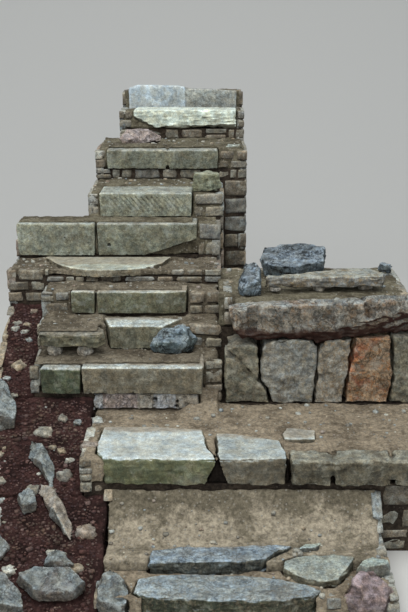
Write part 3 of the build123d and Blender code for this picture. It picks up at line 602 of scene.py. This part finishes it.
STONES = {
    "step_01_slab": ("natural", "natural"), "step_02_slab": ("natural", "bluish"),
    "step_02_side_slab": ("natural", "side slab"), "step_02_end_stones": ("small", "white"),
    "step_03_left_slab": ("worn", "palest"), "step_03_right_slab": ("worn", "pale"),
    "step_03_back_slab": ("small", "pale"), "step_03_kerb_stones": ("wall", "kerb"),
    "step_04_block": ("squared", "block"), "step_04_left_block": ("squared", "dark block"),
    "step_05_left_block": ("natural", "soiled"), "step_05_right_block": ("squared", "bright block"),
    "step_05_prop_stones": ("small", "grey chip"), "blue_grey_edge_rock": ("rock", "blue rock"),
    "step_06_blocks": ("squared", "middle block"), "step_07_tread_slab": ("worn", "tread"),
    "step_08_left_block": ("squared", "pale tooled"), "step_08_right_block": ("squared", "tooled"),
    "step_09_block": ("grooved", "pale tooled"), "step_09_end_stone": ("rock", "end stone"),
    "step_10_slabs": ("squared", "tooled"), "step_11_slab": ("natural", "cream"),
    "wing_capstone": ("cap", "cap"),
    "wing_middle_stone": ("wall", "wall"), "wing_rust_stone": ("wall", "rust"),
    "terrace_slab": ("natural", "terrace"), "terrace_prop_stones": ("small", "grey chip"),
    "terrace_rocks": ("rock", "terrace rock"),
}
for node, (way, finish) in STONES.items():
    finish_with(worked(node, way), finishes[finish])
print("stones of one finish", len(STONES))

# %% Stones told apart by their places from left to right
for node, way, limits, *names in (
    ("step_01_end_boulders", "rock", [0], "bank rock", "pink"),
    ("step_04_packing_stones", "wedged", [-0.67, -0.44, -0.332, -0.185],
     "blue chip", "purple", "grey chip", "blue chip", "grey chip"),
    ("step_10_boulders", "rock", [0], "purple", "side slab"),
    ("step_12_upright_slabs", "squared", [-0.17], "upright", "grey upright"),
    ("wing_small_stones", "wall", [0.6, 1.1], "dark wall", "warm wall", "dark wall"),
):
    piece = finish_with(worked(node, way), *[finishes[name] for name in names])
    for face in piece.data.polygons:
        face.material_index = sum(face.center.x > limit for limit in limits)
    print(piece.name, "finishes", len(names))

# %% Edge boulders, one ridge of them buff
RIDGE_SLANT = 1.2
BUFF_BAND = (-0.62, -0.48)
HEAD_BOULDER_Y = 1.03
edge_stones = finish_with(worked("left_edge_boulders", "ridge"), finishes["bank rock"], finishes["buff rock"])
for face in edge_stones.data.polygons:
    across_ridge = face.center.y + RIDGE_SLANT * face.center.x
    face.material_index = face.center.y < HEAD_BOULDER_Y and BUFF_BAND[0] < across_ridge < BUFF_BAND[1]
print("edge stone faces", len(edge_stones.data.polygons))

# %% [markdown]
# ## Worn soil
#
# Feet have beaten the soil between the stones into treads with soft hollows, and the earth
# below the third step has washed into a scoop. The outer faces are drawn in a little first,
# to leave room for the small stones that hold the soil back.

# %% Outer planes of the stonework
SIDE_INSET = 0.03
FRONT_INSET = 0.014
LEFT_PLANES = (-1.43, -1.15, -0.90, -0.75, -0.60)
RIGHT_PLANES = (1.42, 1.06, 0.36, 0.16, 0.13)
FRONT_PLANES = (-0.15, -0.12, 0.16, 0.60, 1.34, 1.46, 1.71, 1.72, 1.94, 2.17, 2.56, 2.78, 3.40, 4.08)
BACK_PLANES = (4.80, 2.51)


def drawn_in(piece):
    """Move the outer faces of a block of earth or rubble inwards."""
    for vertex in piece.data.vertices:
        place = vertex.co
        for planes, axis, shift in ((LEFT_PLANES, 0, SIDE_INSET), (RIGHT_PLANES, 0, -SIDE_INSET),
                                    (FRONT_PLANES, 1, FRONT_INSET), (BACK_PLANES, 1, -SIDE_INSET)):
            if any(abs(place[axis] - plane) < 0.001 for plane in planes):
                place[axis] += shift
    return piece


# %% Earth treads
SOIL = dict(voxel=0.014, lump=0.032, chip=0.018, facet=0, smooth=4, top_weight=1, keep=0.7, grit=0.004)
soils = {
    "earth_treads_08_to_12": upper_earth, "terrace_earth": upper_earth, "earth_treads_04_to_07": middle_earth,
    "earth_riser_02": scoop_earth,
}
for node in nodes:
    if node.startswith("earth") or node == "terrace_earth":
        piece = weathered(drawn_in(copy_of(node, "_soil")), **SOIL)
        finish_with(piece, soils.get(node, sandy_earth), throat_shade_earth)
        # Upright soil between the slabs and in the kerb joint of the third step gets the second material,
        # painted shade.
        if node == "earth_tread_03":
            for face in piece.data.polygons:
                x, y, z = face.center
                between_slabs = 0.0 < x < 0.18 and 0.5 < y < 0.8
                in_kerb_joint = x > 0.45 and y < 0.66
                face.material_index = z < 0.605 and (between_slabs or in_kerb_joint)
print("soil inset", SIDE_INSET, FRONT_INSET)

# %% [markdown]
# ## Rubble that carries the steps
#
# Behind the visible stones a dry wall is packed with earth and chips. Here that core is the
# CAD block drawn in by the depth of a joint, in a dark soil, so that the gaps between the
# facing stones read as deep shadow. The left cheek's soil is a bank that shows from above.

# %% Dark cores and the bank
BANK = dict(voxel=0.014, lump=0.05, chip=0.03, facet=0, smooth=3, top_weight=1, keep=0.7, grit=0.008)
for node in nodes:
    if "cheek" in node:
        finish_with(weathered(drawn_in(copy_of(node, "_bank")), **BANK), bank_earth)
    elif "bed" in node or "core" in node or "footing" in node:
        finish_with(drawn_in(copy_of(node, "_core")), dark_earth)
bpy.data.objects.remove(layer_guide)

# %% [markdown]
# ## Fieldstones
#
# The faces of the beds are hundreds of small stones. A few are modelled as patterns: a cube
# is subdivided, pulled towards a sphere and roughened. Every laid stone is a copy of one of
# them, stretched to fill its own place in the wall.


# %% Patterns for small stones
def stone_pattern(cuts, roundness, size, strength):
    """Corners and faces of a small stone that fills a box from -1 to 1."""
    bpy.ops.mesh.primitive_cube_add(size=2)
    stone = bpy.context.object
    bpy.ops.object.mode_set(mode="EDIT")
    bpy.ops.mesh.select_all(action="SELECT")
    bpy.ops.mesh.subdivide(number_cuts=cuts)
    bpy.ops.transform.tosphere(value=roundness)
    bpy.ops.object.mode_set(mode="OBJECT")
    displace(stone, cloud_texture("pattern_lumps", size), strength, 0.5)
    apply_modifiers(stone)
    reach = [max(abs(vertex.co[axis]) for vertex in stone.data.vertices) for axis in range(3)]
    corners = [tuple(vertex.co[axis] / reach[axis] for axis in range(3)) for vertex in stone.data.vertices]
    faces = [tuple(face.vertices) for face in stone.data.polygons]
    bpy.data.objects.remove(stone)
    return corners, faces


def stone_patterns(cuts, *shapes):
    """Patterns of one fineness; a shape is its roundness and the size and strength of its lumps."""
    return [stone_pattern(cuts, *shape) for shape in shapes]


wall_patterns = stone_patterns(
    3, (0.16, 0.9, 0.5), (0.22, 0.6, 0.36), (0.3, 1.3, 0.6), (0.2, 0.75, 0.45), (0.34, 1.0, 0.5),
)
print("faces in a wall stone", len(wall_patterns[0][1]))


# %% Gathering small stones
class Heap:
    """Small stones gathered into one mesh, each with its own tint."""

    def __init__(self, name):
        self.name = name
        self.points, self.faces, self.tints = [], [], []

    def lay(self, pattern, place, tint, turned=False):
        """Add a copy of a pattern; place turns pattern corners into points of the scene."""
        corners, faces = pattern
        first = len(self.points)
        self.points += [place(*corner) for corner in corners]
        for face in faces:
            loop = tuple(first + index for index in face)
            self.faces.append(loop[::-1] if turned else loop)
        self.tints += [tint] * len(corners)

    def build(self, material):
        """Make the heap an object that rides on the body."""
        mesh = bpy.data.meshes.new(self.name)
        mesh.from_pydata(self.points, [], self.faces)
        attribute = mesh.attributes.new("tint", "FLOAT", "POINT")
        attribute.data.foreach_set("value", self.tints)
        mesh.update()
        piece = bpy.data.objects.new(self.name, mesh)
        bpy.context.scene.collection.objects.link(piece)
        finish_with(only(kept_inside(piece)), material)
        bpy.ops.object.shade_smooth()
        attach(piece, "root")
        print(self.name, "faces", len(self.faces))


# %% [markdown]
# ## Laying a wall
#
# A waller lays rough courses. The courses and upright joints follow the same rule as the
# frame's rubble, and here the beds also waver, joints lean, and many places are filled by
# two smaller stones instead of one.

# %% Courses of fieldstones
COURSE, SMALL_COURSE = 0.15, 0.10
STONE_PITCH, SMALL_PITCH = 0.31, 0.19
STONE_WANDER = 0.05
LEAST_STONE = 0.06
LEAST_WIDTH, LEAST_HEIGHT, LEAST_SHARE = 0.025, 0.02, 0.3
JOINT = 0.006
JOINT_LEAN = 0.15
BED_WAVE = 0.02
STONE_DEPTH = 0.07
DEEPEST_SET = 0.010
SLIT = 0.0005


def joint_place(course, index, pitch):
    """Where an upright joint stands along a wall; odd courses break joint with even ones."""
    wander = STONE_WANDER * pitch / STONE_PITCH
    return pitch * (index + 0.5 * (course % 2)) + wander * math.sin(2.4 * index + 1.7 * course)


def height_on(profile, along):
    """Height of a raking or stepped line at a place along a wall."""
    for (start, low), (end, high) in zip(profile, profile[1:]):
        if start <= along <= end and end > start:
            return low + (high - low) * (along - start) / (end - start)
    return profile[-1][1]


class Wall:
    """One upright face of fieldstones, across X or Y at a plane, facing up or down that axis."""

    def __init__(self, heap, across, plane, facing, top, bottom=None, small=False):
        self.heap, self.across, self.plane, self.facing = heap, across, plane, facing
        self.top, self.small = top, small
        self.bottom = bottom or [(top[0][0], 0), (top[-1][0], 0)]
        self.pitch, self.course = (SMALL_PITCH, SMALL_COURSE) if small else (STONE_PITCH, COURSE)
        self.pick = random.Random(f"{across}{plane}{top[0]}0")
        self.turned = (facing < 0) == (across == "X")

    def point(self, along, height, inward):
        """A point of the wall, in the scene."""
        depth = self.plane - self.facing * inward
        return Vector((depth, along, height)) if self.across == "X" else Vector((along, depth, height))

    def levels(self):
        """Heights of the beds of the courses."""
        low = min(height for along, height in self.bottom)
        high = max(height for along, height in self.top)
        if self.small:
            count = max(1, round((high - low) / self.course))
            return [low + (high - low) * number / count for number in range(count + 1)]
        first = math.floor(low / self.course + 0.01)
        beds = [self.course * number for number in range(first, 40)]
        return [bed for bed in beds if bed < high - LEAST_STONE] + [high]

    def bed(self, along, level, straight):
        """Height of a wavering bed at a place; the first and the last bed are straight."""
        wave = 0 if straight else BED_WAVE * noise.noise(Vector((along * 3, level * 9, self.plane)))
        return level + wave

    def joints(self, number, high):
        """Places of the joints of a course, and those among them where the top has a step."""
        start, end = self.top[0][0], self.top[-1][0]
        least = LEAST_STONE * self.pitch / STONE_PITCH
        steps = [a[0] for a, b in zip(self.top, self.top[1:]) if a[0] == b[0]]
        cuts = [step for step in steps
                if min(height_on(self.top, step - 0.01), height_on(self.top, step + 0.01)) < high]
        bond = [joint_place(number, index, self.pitch) for index in range(-30, 60)]
        joints = [joint for joint in bond if start + least < joint < end - least
                  and all(abs(joint - cut) > least for cut in cuts)]
        return sorted([start + SLIT, end - SLIT] + joints + cuts), cuts

    def lay(self):
        """Lay every course."""
        levels = self.levels()
        for course, (low, high) in enumerate(zip(levels, levels[1:])):
            joints, cuts = self.joints(course if self.small else round(low / self.course), high)
            leans = [0 if joint in (*cuts, joints[0], joints[-1]) else
                     self.pick.uniform(-JOINT_LEAN, JOINT_LEAN) * (high - low) for joint in joints]
            first, last = course == 0, course == len(levels) - 2
            for a, b, lean_a, lean_b in zip(joints, joints[1:], leans, leans[1:]):
                a += SLIT if a in cuts else 0
                b -= SLIT if b in cuts else 0
                self.lay_split([
                    (a, self.bed(a, low, first)), (b, self.bed(b, low, first)),
                    (b + lean_b, self.bed(b, high, last)), (a + lean_a, self.bed(a, high, last)),
                ], b - a, high - low)

    def lay_split(self, corners, width, height):
        """Lay a cell as one stone, two beside each other or two on each other."""
        low_left, low_right, high_right, high_left = [Vector(corner) for corner in corners]
        share = self.pick.uniform(0.36, 0.64)
        chance = self.pick.random()
        if width > 0.75 * self.pitch and chance < 0.4:
            low, high = low_left.lerp(low_right, share), high_left.lerp(high_right, share + 0.05)
            self.lay_cell([low_left, low, high, high_left])
            self.lay_cell([low, low_right, high_right, high])
        elif height > 0.8 * self.course and chance > 0.85:
            left, right = low_left.lerp(high_left, share), low_right.lerp(high_right, share + 0.05)
            self.lay_cell([low_left, low_right, right, left])
            self.lay_cell([left, right, high_right, high_left])
        else:
            self.lay_cell([low_left, low_right, high_right, high_left])

    def lay_cell(self, corners):
        """Lay one stone in a four-cornered cell, its corners anticlockwise from low left."""
        corners = [
            Vector((along, min(max(height, height_on(self.bottom, along)), height_on(self.top, along))))
            for along, height in corners
        ]
        middle = sum(corners, Vector((0, 0))) / 4
        width = (corners[1].x + corners[2].x - corners[0].x - corners[3].x) / 2
        height = (corners[2].y + corners[3].y - corners[0].y - corners[1].y) / 2
        if width < LEAST_WIDTH or height < LEAST_HEIGHT:
            return
        shrink = Vector([max(LEAST_SHARE, 1 - JOINT / size) for size in (width, height)])
        cell = [middle + (corner - middle) * shrink for corner in corners]
        sunk = self.pick.uniform(0.0, DEEPEST_SET)
        depth = min(STONE_DEPTH, 0.045 + 0.3 * min(width, height))
        spin = self.pick.choice((-1, 1))

        def place(a, b, c):
            across, up = (a * spin + 1) / 2, (b * spin + 1) / 2
            flat = cell[0].lerp(cell[1], across).lerp(cell[3].lerp(cell[2], across), up)
            return self.point(flat.x, flat.y, sunk + depth * (1 - c) / 2)

        self.heap.lay(self.pick.choice(wall_patterns), place, self.pick.random(), self.turned)


def lay_walls(name, across, facing, rows, material):
    """The faces of one side; a row has a plane, a top, perhaps a foot, and True for small stones."""
    heap = Heap(name)
    for plane, *shape in rows:
        Wall(heap, across, plane, facing, *shape).lay()
    heap.build(material)


# %% Stone colours of the walls
def tinted_granite(name, colors, top_gain=1.35, lichen_amount=0.25, flecks=0.2):
    """Weathered stone following each small stone's tint, its tops brighter by wear and painted light."""
    material = granite(name, (0.3, 0.3, 0.27), (0.2, 0.19, 0.16), soil_stain, 0.4, pale_lichen,
                       lichen_amount, bump=0.014, flecks=flecks)
    tree = material.node_tree
    layers = [node for node in tree.nodes if node.type == "GROUP"][0]
    tint = add_node(tree, "Attribute", attribute_name="tint").outputs["Fac"]
    scale = add_node(tree, "ValToRGB", {"Fac": tint})
    scale.color_ramp.interpolation = "CONSTANT"
    elements = scale.color_ramp.elements
    elements[1].position = 1 / len(colors)
    for index in range(2, len(colors)):
        elements.new(index / len(colors))
    for element, color in zip(elements, colors):
        element.color = (*color, 1)
    side = scale.outputs["Color"]
    # The top colour is the tint made brighter: partly wear, partly painted light on the tops.
    worn = mix(tree, 1.0, side, (top_gain, top_gain * 1.02, top_gain * 1.02, 1), "MULTIPLY")
    set_inputs(tree, layers, {"Side Color": side, "Top Color": worn})
    return material


wall_material = tinted_granite("dry_wall_stones", (
    (0.2, 0.19, 0.16), (0.28, 0.28, 0.25), (0.15, 0.14, 0.12), (0.25, 0.21, 0.155), (0.19, 0.21, 0.21),
    (0.34, 0.34, 0.3), (0.2, 0.165, 0.135), (0.24, 0.25, 0.235),
))
crumb_material = tinted_granite("dark_red_crumbs", (
    (0.062, 0.03, 0.027), (0.036, 0.018, 0.016), (0.08, 0.045, 0.04), (0.05, 0.027, 0.027),
    (0.11, 0.07, 0.062), (0.045, 0.021, 0.018), (0.055, 0.027, 0.024),
), top_gain=1.1, lichen_amount=0, flecks=0)
stained_material = tinted_granite("soil_stained_stones", (
    (0.15, 0.135, 0.105), (0.19, 0.18, 0.145), (0.13, 0.115, 0.09), (0.17, 0.145, 0.11), (0.16, 0.16, 0.145),
    (0.22, 0.21, 0.175),
), top_gain=1.5)

# %% Faces of the left side
CHEEK_TOE = (-0.15, 0.04)
CHEEK_HEAD = (2.17, 1.107)


def on_cheek(*places):
    """The raking top of the left cheek, as heights at some places along Y."""
    (toe, low), (head, high) = CHEEK_TOE, CHEEK_HEAD
    return [(place, low + (high - low) * (place - toe) / (head - toe)) for place in places]


lay_walls("left_face_stones", "X", -1, (
    (-1.43, [CHEEK_TOE, CHEEK_HEAD, (2.17, 1.36), (2.56, 1.36), (2.56, 1.61), (2.78, 1.61)]),
    (-0.90, [(2.78, 1.80), (3.40, 1.80), (3.40, 2.04), (4.08, 2.04)]),
    (-0.75, [(4.08, 2.29), (4.47, 2.29), (4.47, 2.425), (4.80, 2.425)]),
    (-0.60, [(-0.12, 0.145), (0.16, 0.145)], on_cheek(-0.12, 0.16), True),
    (-0.60, [(0.16, 0.2), (0.38, 0.2), (0.60, 0.443)], on_cheek(0.16, 0.60), True),
    (-0.75, [(0.60, 0.62), (1.11, 0.62)], on_cheek(0.60, 1.11)),
    (-1.15, [(1.34, 0.92), (1.71, 0.92), (1.71, 1.09), (1.94, 1.09), (1.94, 1.26), (2.17, 1.26)],
     on_cheek(1.34, 2.17)),
    (0.13, [(1.72, 1.295), (2.17, 1.295)], [(1.72, 1.09), (1.94, 1.09), (1.94, 1.26), (2.17, 1.26)], True),
), wall_material)

# %% Faces of the right side
lay_walls("right_face_stones", "X", 1, (
    (1.06, [(-0.12, 0.145), (0.16, 0.145), (0.16, 0.2), (0.38, 0.2), (0.60, 0.443)], None, True),
    (1.42, [(0.60, 0.62), (1.46, 0.62), (1.72, 0.62), (1.72, 1.295), (2.51, 1.295)]),
    (0.13, [(2.17, 1.36), (2.51, 1.36)], [(2.17, 1.295), (2.51, 1.295)]),
    (0.13, [(2.51, 1.36), (2.56, 1.36), (2.56, 1.61), (2.78, 1.61)]),
    (0.16, [(2.78, 1.80), (3.40, 1.80)]),
    (0.36, [(3.40, 2.04), (4.08, 2.04), (4.08, 2.29), (4.47, 2.29), (4.47, 2.425), (4.80, 2.425)]),
), wall_material)

# %% Faces of the back
lay_walls("back_face_stones", "Y", 1, [
    (plane, [(left, height), (right, height)]) for plane, left, right, height in (
        (4.80, -0.75, 0.36, 2.425), (4.08, -0.90, -0.75, 2.04), (2.78, -1.43, -0.90, 1.61),
        (2.51, 0.13, 1.42, 1.295),
    )
], wall_material)

# %% Small stones under and beside the blocks
LOW_FACE = 0.3
lay_walls("front_face_stones", "Y", -1, [
    (plane, [(left, high), (right, high)], [(left, low), (right, low)], high - low < LOW_FACE)
    for plane, left, right, low, high in (
        (-0.15, -1.43, -0.60, 0, 0.04), (-0.12, 0.65, 0.75, 0, 0.145),
        (0.60, -0.75, -0.66, 0.385, 0.62), (0.60, -0.66, -0.60, 0.385, 0.453), (0.60, 1.06, 1.42, 0, 0.453),
        (1.34, -1.15, -1.08, 0.725, 0.92), (1.46, -0.75, 0.0, 0.62, 0.74), (1.46, 0.0, 0.13, 0.62, 0.92),
        (1.71, -0.16, 0.13, 0.92, 1.09), (1.71, -1.15, -1.115, 0.92, 1.09), (1.72, 0.13, 0.21, 1.07, 1.295),
        (1.94, -1.15, -0.94, 1.09, 1.26), (1.94, -0.11, 0.13, 1.09, 1.26),
        (2.17, -1.43, -1.15, 1.107, 1.36), (2.17, -1.15, 0.13, 1.26, 1.31), (2.17, -1.15, -1.12, 1.31, 1.36),
        (2.17, -0.24, 0.13, 1.31, 1.36), (2.56, -0.046, 0.13, 1.36, 1.61),
        (2.78, -0.90, -0.805, 1.61, 1.80), (2.78, -0.084, 0.16, 1.61, 1.80),
        (3.40, -0.90, 0.36, 1.80, 1.89), (3.40, -0.90, -0.805, 1.89, 2.04), (3.40, 0.12, 0.36, 1.89, 2.04),
        (3.40, 0.16, 0.36, 0, 1.80), (4.08, -0.75, 0.36, 2.04, 2.135), (4.08, -0.75, -0.625, 2.135, 2.29),
        (4.08, 0.29, 0.36, 2.135, 2.29), (4.47, -0.75, -0.69, 2.29, 2.425), (4.47, 0.30, 0.36, 2.29, 2.425),
    )
], stained_material)

# %% [markdown]
# ## Loose stones
#
# Rocks lie half sunk in the bank of the left cheek, and chips and grit lie on the treads. The
# same kind of pattern is scattered, each stone turned and sunk at random onto the soil below.

# %% Finding the soil
ABOVE_ALL = 3.2
LEVEL_SOIL = 0.6
DOWN = Vector((0, 0, -1))


def surface_of(*endings):
    """A search tree of the surfaces of every piece whose name has one of the endings."""
    points, faces = [], []
    for piece in bpy.context.scene.objects:
        if piece.type == "MESH" and piece.name.endswith(endings):
            first = len(points)
            points += [vertex.co.copy() for vertex in piece.data.vertices]
            faces += [[first + index for index in face.vertices] for face in piece.data.polygons]
    return BVHTree.FromPolygons(points, faces)


soil_surface = surface_of("_soil", "_bank")
stone_surface = surface_of("_stone", "_stones")


def soil_height(x, y):
    """Height of bare, fairly level soil at a place, or None where stone covers it."""
    above = Vector((x, y, ABOVE_ALL))
    place, normal, face, distance = soil_surface.ray_cast(above, DOWN)
    stone = stone_surface.ray_cast(above, DOWN)[0]
    if place is None or normal.z < LEVEL_SOIL or (stone is not None and stone.z > place.z):
        return None
    return place.z


# %% Scattering stones
TRIES_PER_STONE = 5
MOSTLY_SMALL = 1.8


def scatter(heap, patterns, count, sizes, area, sunk, seed):
    """Scatter small stones over the soil inside an area given by its low and high X and Y."""
    pick = random.Random(seed)
    laid = []
    for attempt in range(count * TRIES_PER_STONE):
        if len(laid) == count:
            break
        radius = sizes[0] * (sizes[1] / sizes[0]) ** (pick.random() ** MOSTLY_SMALL) / 2
        x, y = pick.uniform(area[0], area[1]), pick.uniform(area[2], area[3])
        height = soil_height(x, y)
        if height is None or any((x - a) ** 2 + (y - b) ** 2 < (radius + r) ** 2 for a, b, r in laid):
            continue
        laid.append((x, y, radius))
        turn = pick.uniform(0, 2 * math.pi)
        flat, long = pick.uniform(0.5, 0.85), pick.uniform(0.9, 1.5)
        middle = height + (1 - 2 * sunk) * radius * flat

        def place(a, b, c):
            a, b = a * radius * long, b * radius
            return Vector((x + a * math.cos(turn) - b * math.sin(turn),
                           y + a * math.sin(turn) + b * math.cos(turn), middle + c * radius * flat))

        heap.lay(pick.choice(patterns), place, pick.random())


def scatter_over(name, patterns, sunk, material, seed, areas):
    """A heap scattered over some areas; each has its count, its sizes, and its low and high X and Y."""
    heap = Heap(name)
    for number, (count, sizes, *area) in enumerate(areas):
        scatter(heap, patterns, count, sizes, area, sunk, seed + number)
    heap.build(material)


# %% Scattered stones
rock_patterns = stone_patterns(4, (0.5, 0.7, 1.0), (0.62, 0.9, 1.2), (0.4, 0.55, 0.8), (0.7, 1.1, 1.3))
scatter_over("bank_stones", rock_patterns, 0.68, wall_material, 201, (
    (20, (0.06, 0.19), -1.37, -0.66, -0.1, 1.3), (9, (0.06, 0.16), -1.37, -1.2, 1.3, 2.1),
))

CHIP = (0.008, 0.035)
CRUMB = (0.01, 0.034)
chip_patterns = stone_patterns(1, (0.5, 0.8, 0.3), (0.35, 1.2, 0.4))
crumb_patterns = stone_patterns(1, (0.2, 0.5, 0.9), (0.1, 0.35, 1.1), (0.3, 0.8, 0.8))
scatter_over("bank_crumbs", crumb_patterns, 0.5, crumb_material, 203, (
    (750, CRUMB, -1.4, -0.62, -0.12, 0.58), (700, CRUMB, -1.4, -0.77, 0.58, 1.33),
    (420, CRUMB, -1.4, -1.17, 1.33, 2.15),
))
scatter_over("tread_chips", chip_patterns, 0.4, wall_material, 301, (
    (90, CHIP, -0.58, 1.0, -0.1, 0.58), (110, CHIP, -0.72, 1.38, 0.9, 1.46),
    (50, CHIP, -1.1, 0.1, 1.6, 2.15), (50, CHIP, -1.4, 0.1, 2.2, 2.56), (60, CHIP, -0.88, 0.12, 2.8, 3.4),
    (60, CHIP, -0.88, 0.34, 3.5, 4.07), (50, CHIP, -0.72, 0.34, 4.1, 4.78),
    (60, CHIP, 0.15, 1.4, 1.75, 2.5), (25, CHIP, -1.4, -0.65, -0.1, 1.3),
))

# %% [markdown]
# ## Floor and light
#
# The steps stand on a plain pale floor that sweeps up behind them, under soft light from
# above and from behind the camera, as on an overcast day.

# %% Floor with a sweep behind
FLOOR_SIZE = 400
FLOOR_BACK = 14
SWEEP_HEIGHT = 16
SWEEP_RADIUS = 7
SWEEP_SEGMENTS = 24
FLOOR_COLOR = (0.62, 0.62, 0.60, 1)


def select_edges(piece, chosen):
    """Go into edit mode with only the edges selected whose two ends are both chosen."""
    bpy.ops.object.mode_set(mode="EDIT")
    bpy.ops.mesh.select_mode(type="EDGE")
    bpy.ops.mesh.select_all(action="DESELECT")
    bpy.ops.object.mode_set(mode="OBJECT")
    for edge in piece.data.edges:
        edge.select = all(chosen(piece.data.vertices[index].co) for index in edge.vertices)
    bpy.ops.object.mode_set(mode="EDIT")


bpy.ops.mesh.primitive_plane_add(size=FLOOR_SIZE, location=(0, FLOOR_BACK - FLOOR_SIZE / 2, 0))
floor = bpy.context.object
floor.name = "floor"
bpy.ops.object.transform_apply(location=True)
select_edges(floor, lambda end: end.y > 0)
bpy.ops.mesh.extrude_region_move(TRANSFORM_OT_translate={"value": (0, 0, SWEEP_HEIGHT)})
select_edges(floor, lambda end: end.y > 0 and end.z < 0.01)
bpy.ops.mesh.bevel(offset=SWEEP_RADIUS, segments=SWEEP_SEGMENTS)
bpy.ops.object.mode_set(mode="OBJECT")
bpy.ops.object.shade_smooth()
floor_material, floor_tree = new_material("pale_floor")
set_inputs(floor_tree, floor_tree.nodes["Principled BSDF"], {"Base Color": FLOOR_COLOR, "Roughness": 0.9})
finish_with(floor, floor_material)
print("floor faces", len(floor.data.polygons))

# %% Light
SKY_COLOR = (0.92, 0.96, 1.0, 1)
SKY_STRENGTH = 0.6
world = bpy.data.worlds.new("overcast")
bpy.context.scene.world = world
world.use_nodes = True
sky = world.node_tree
set_inputs(sky, sky.nodes["Background"], {"Color": SKY_COLOR, "Strength": SKY_STRENGTH})


def soft_light(name, place, aim, size, energy, color):
    """A square of soft light that faces a point."""
    bpy.ops.object.light_add(type="AREA", location=place)
    light = bpy.context.object
    light.name = name
    light.data.shape = "SQUARE"
    light.data.size = size
    light.data.energy = energy
    light.data.color = color
    light.rotation_euler = (Vector(aim) - light.location).to_track_quat("-Z", "Y").to_euler()


soft_light("soft_sky", place=(-1.5, -1.4, 8.5), aim=(0, 1.5, 0.8), size=8, energy=600,
           color=(1.0, 0.985, 0.955))
soft_light("soft_front", place=(1.0, -7.5, 4.2), aim=(0, 1.5, 1.0), size=5, energy=120,
           color=(1.0, 0.98, 0.95))
bpy.context.scene.view_settings.view_transform = "Standard"
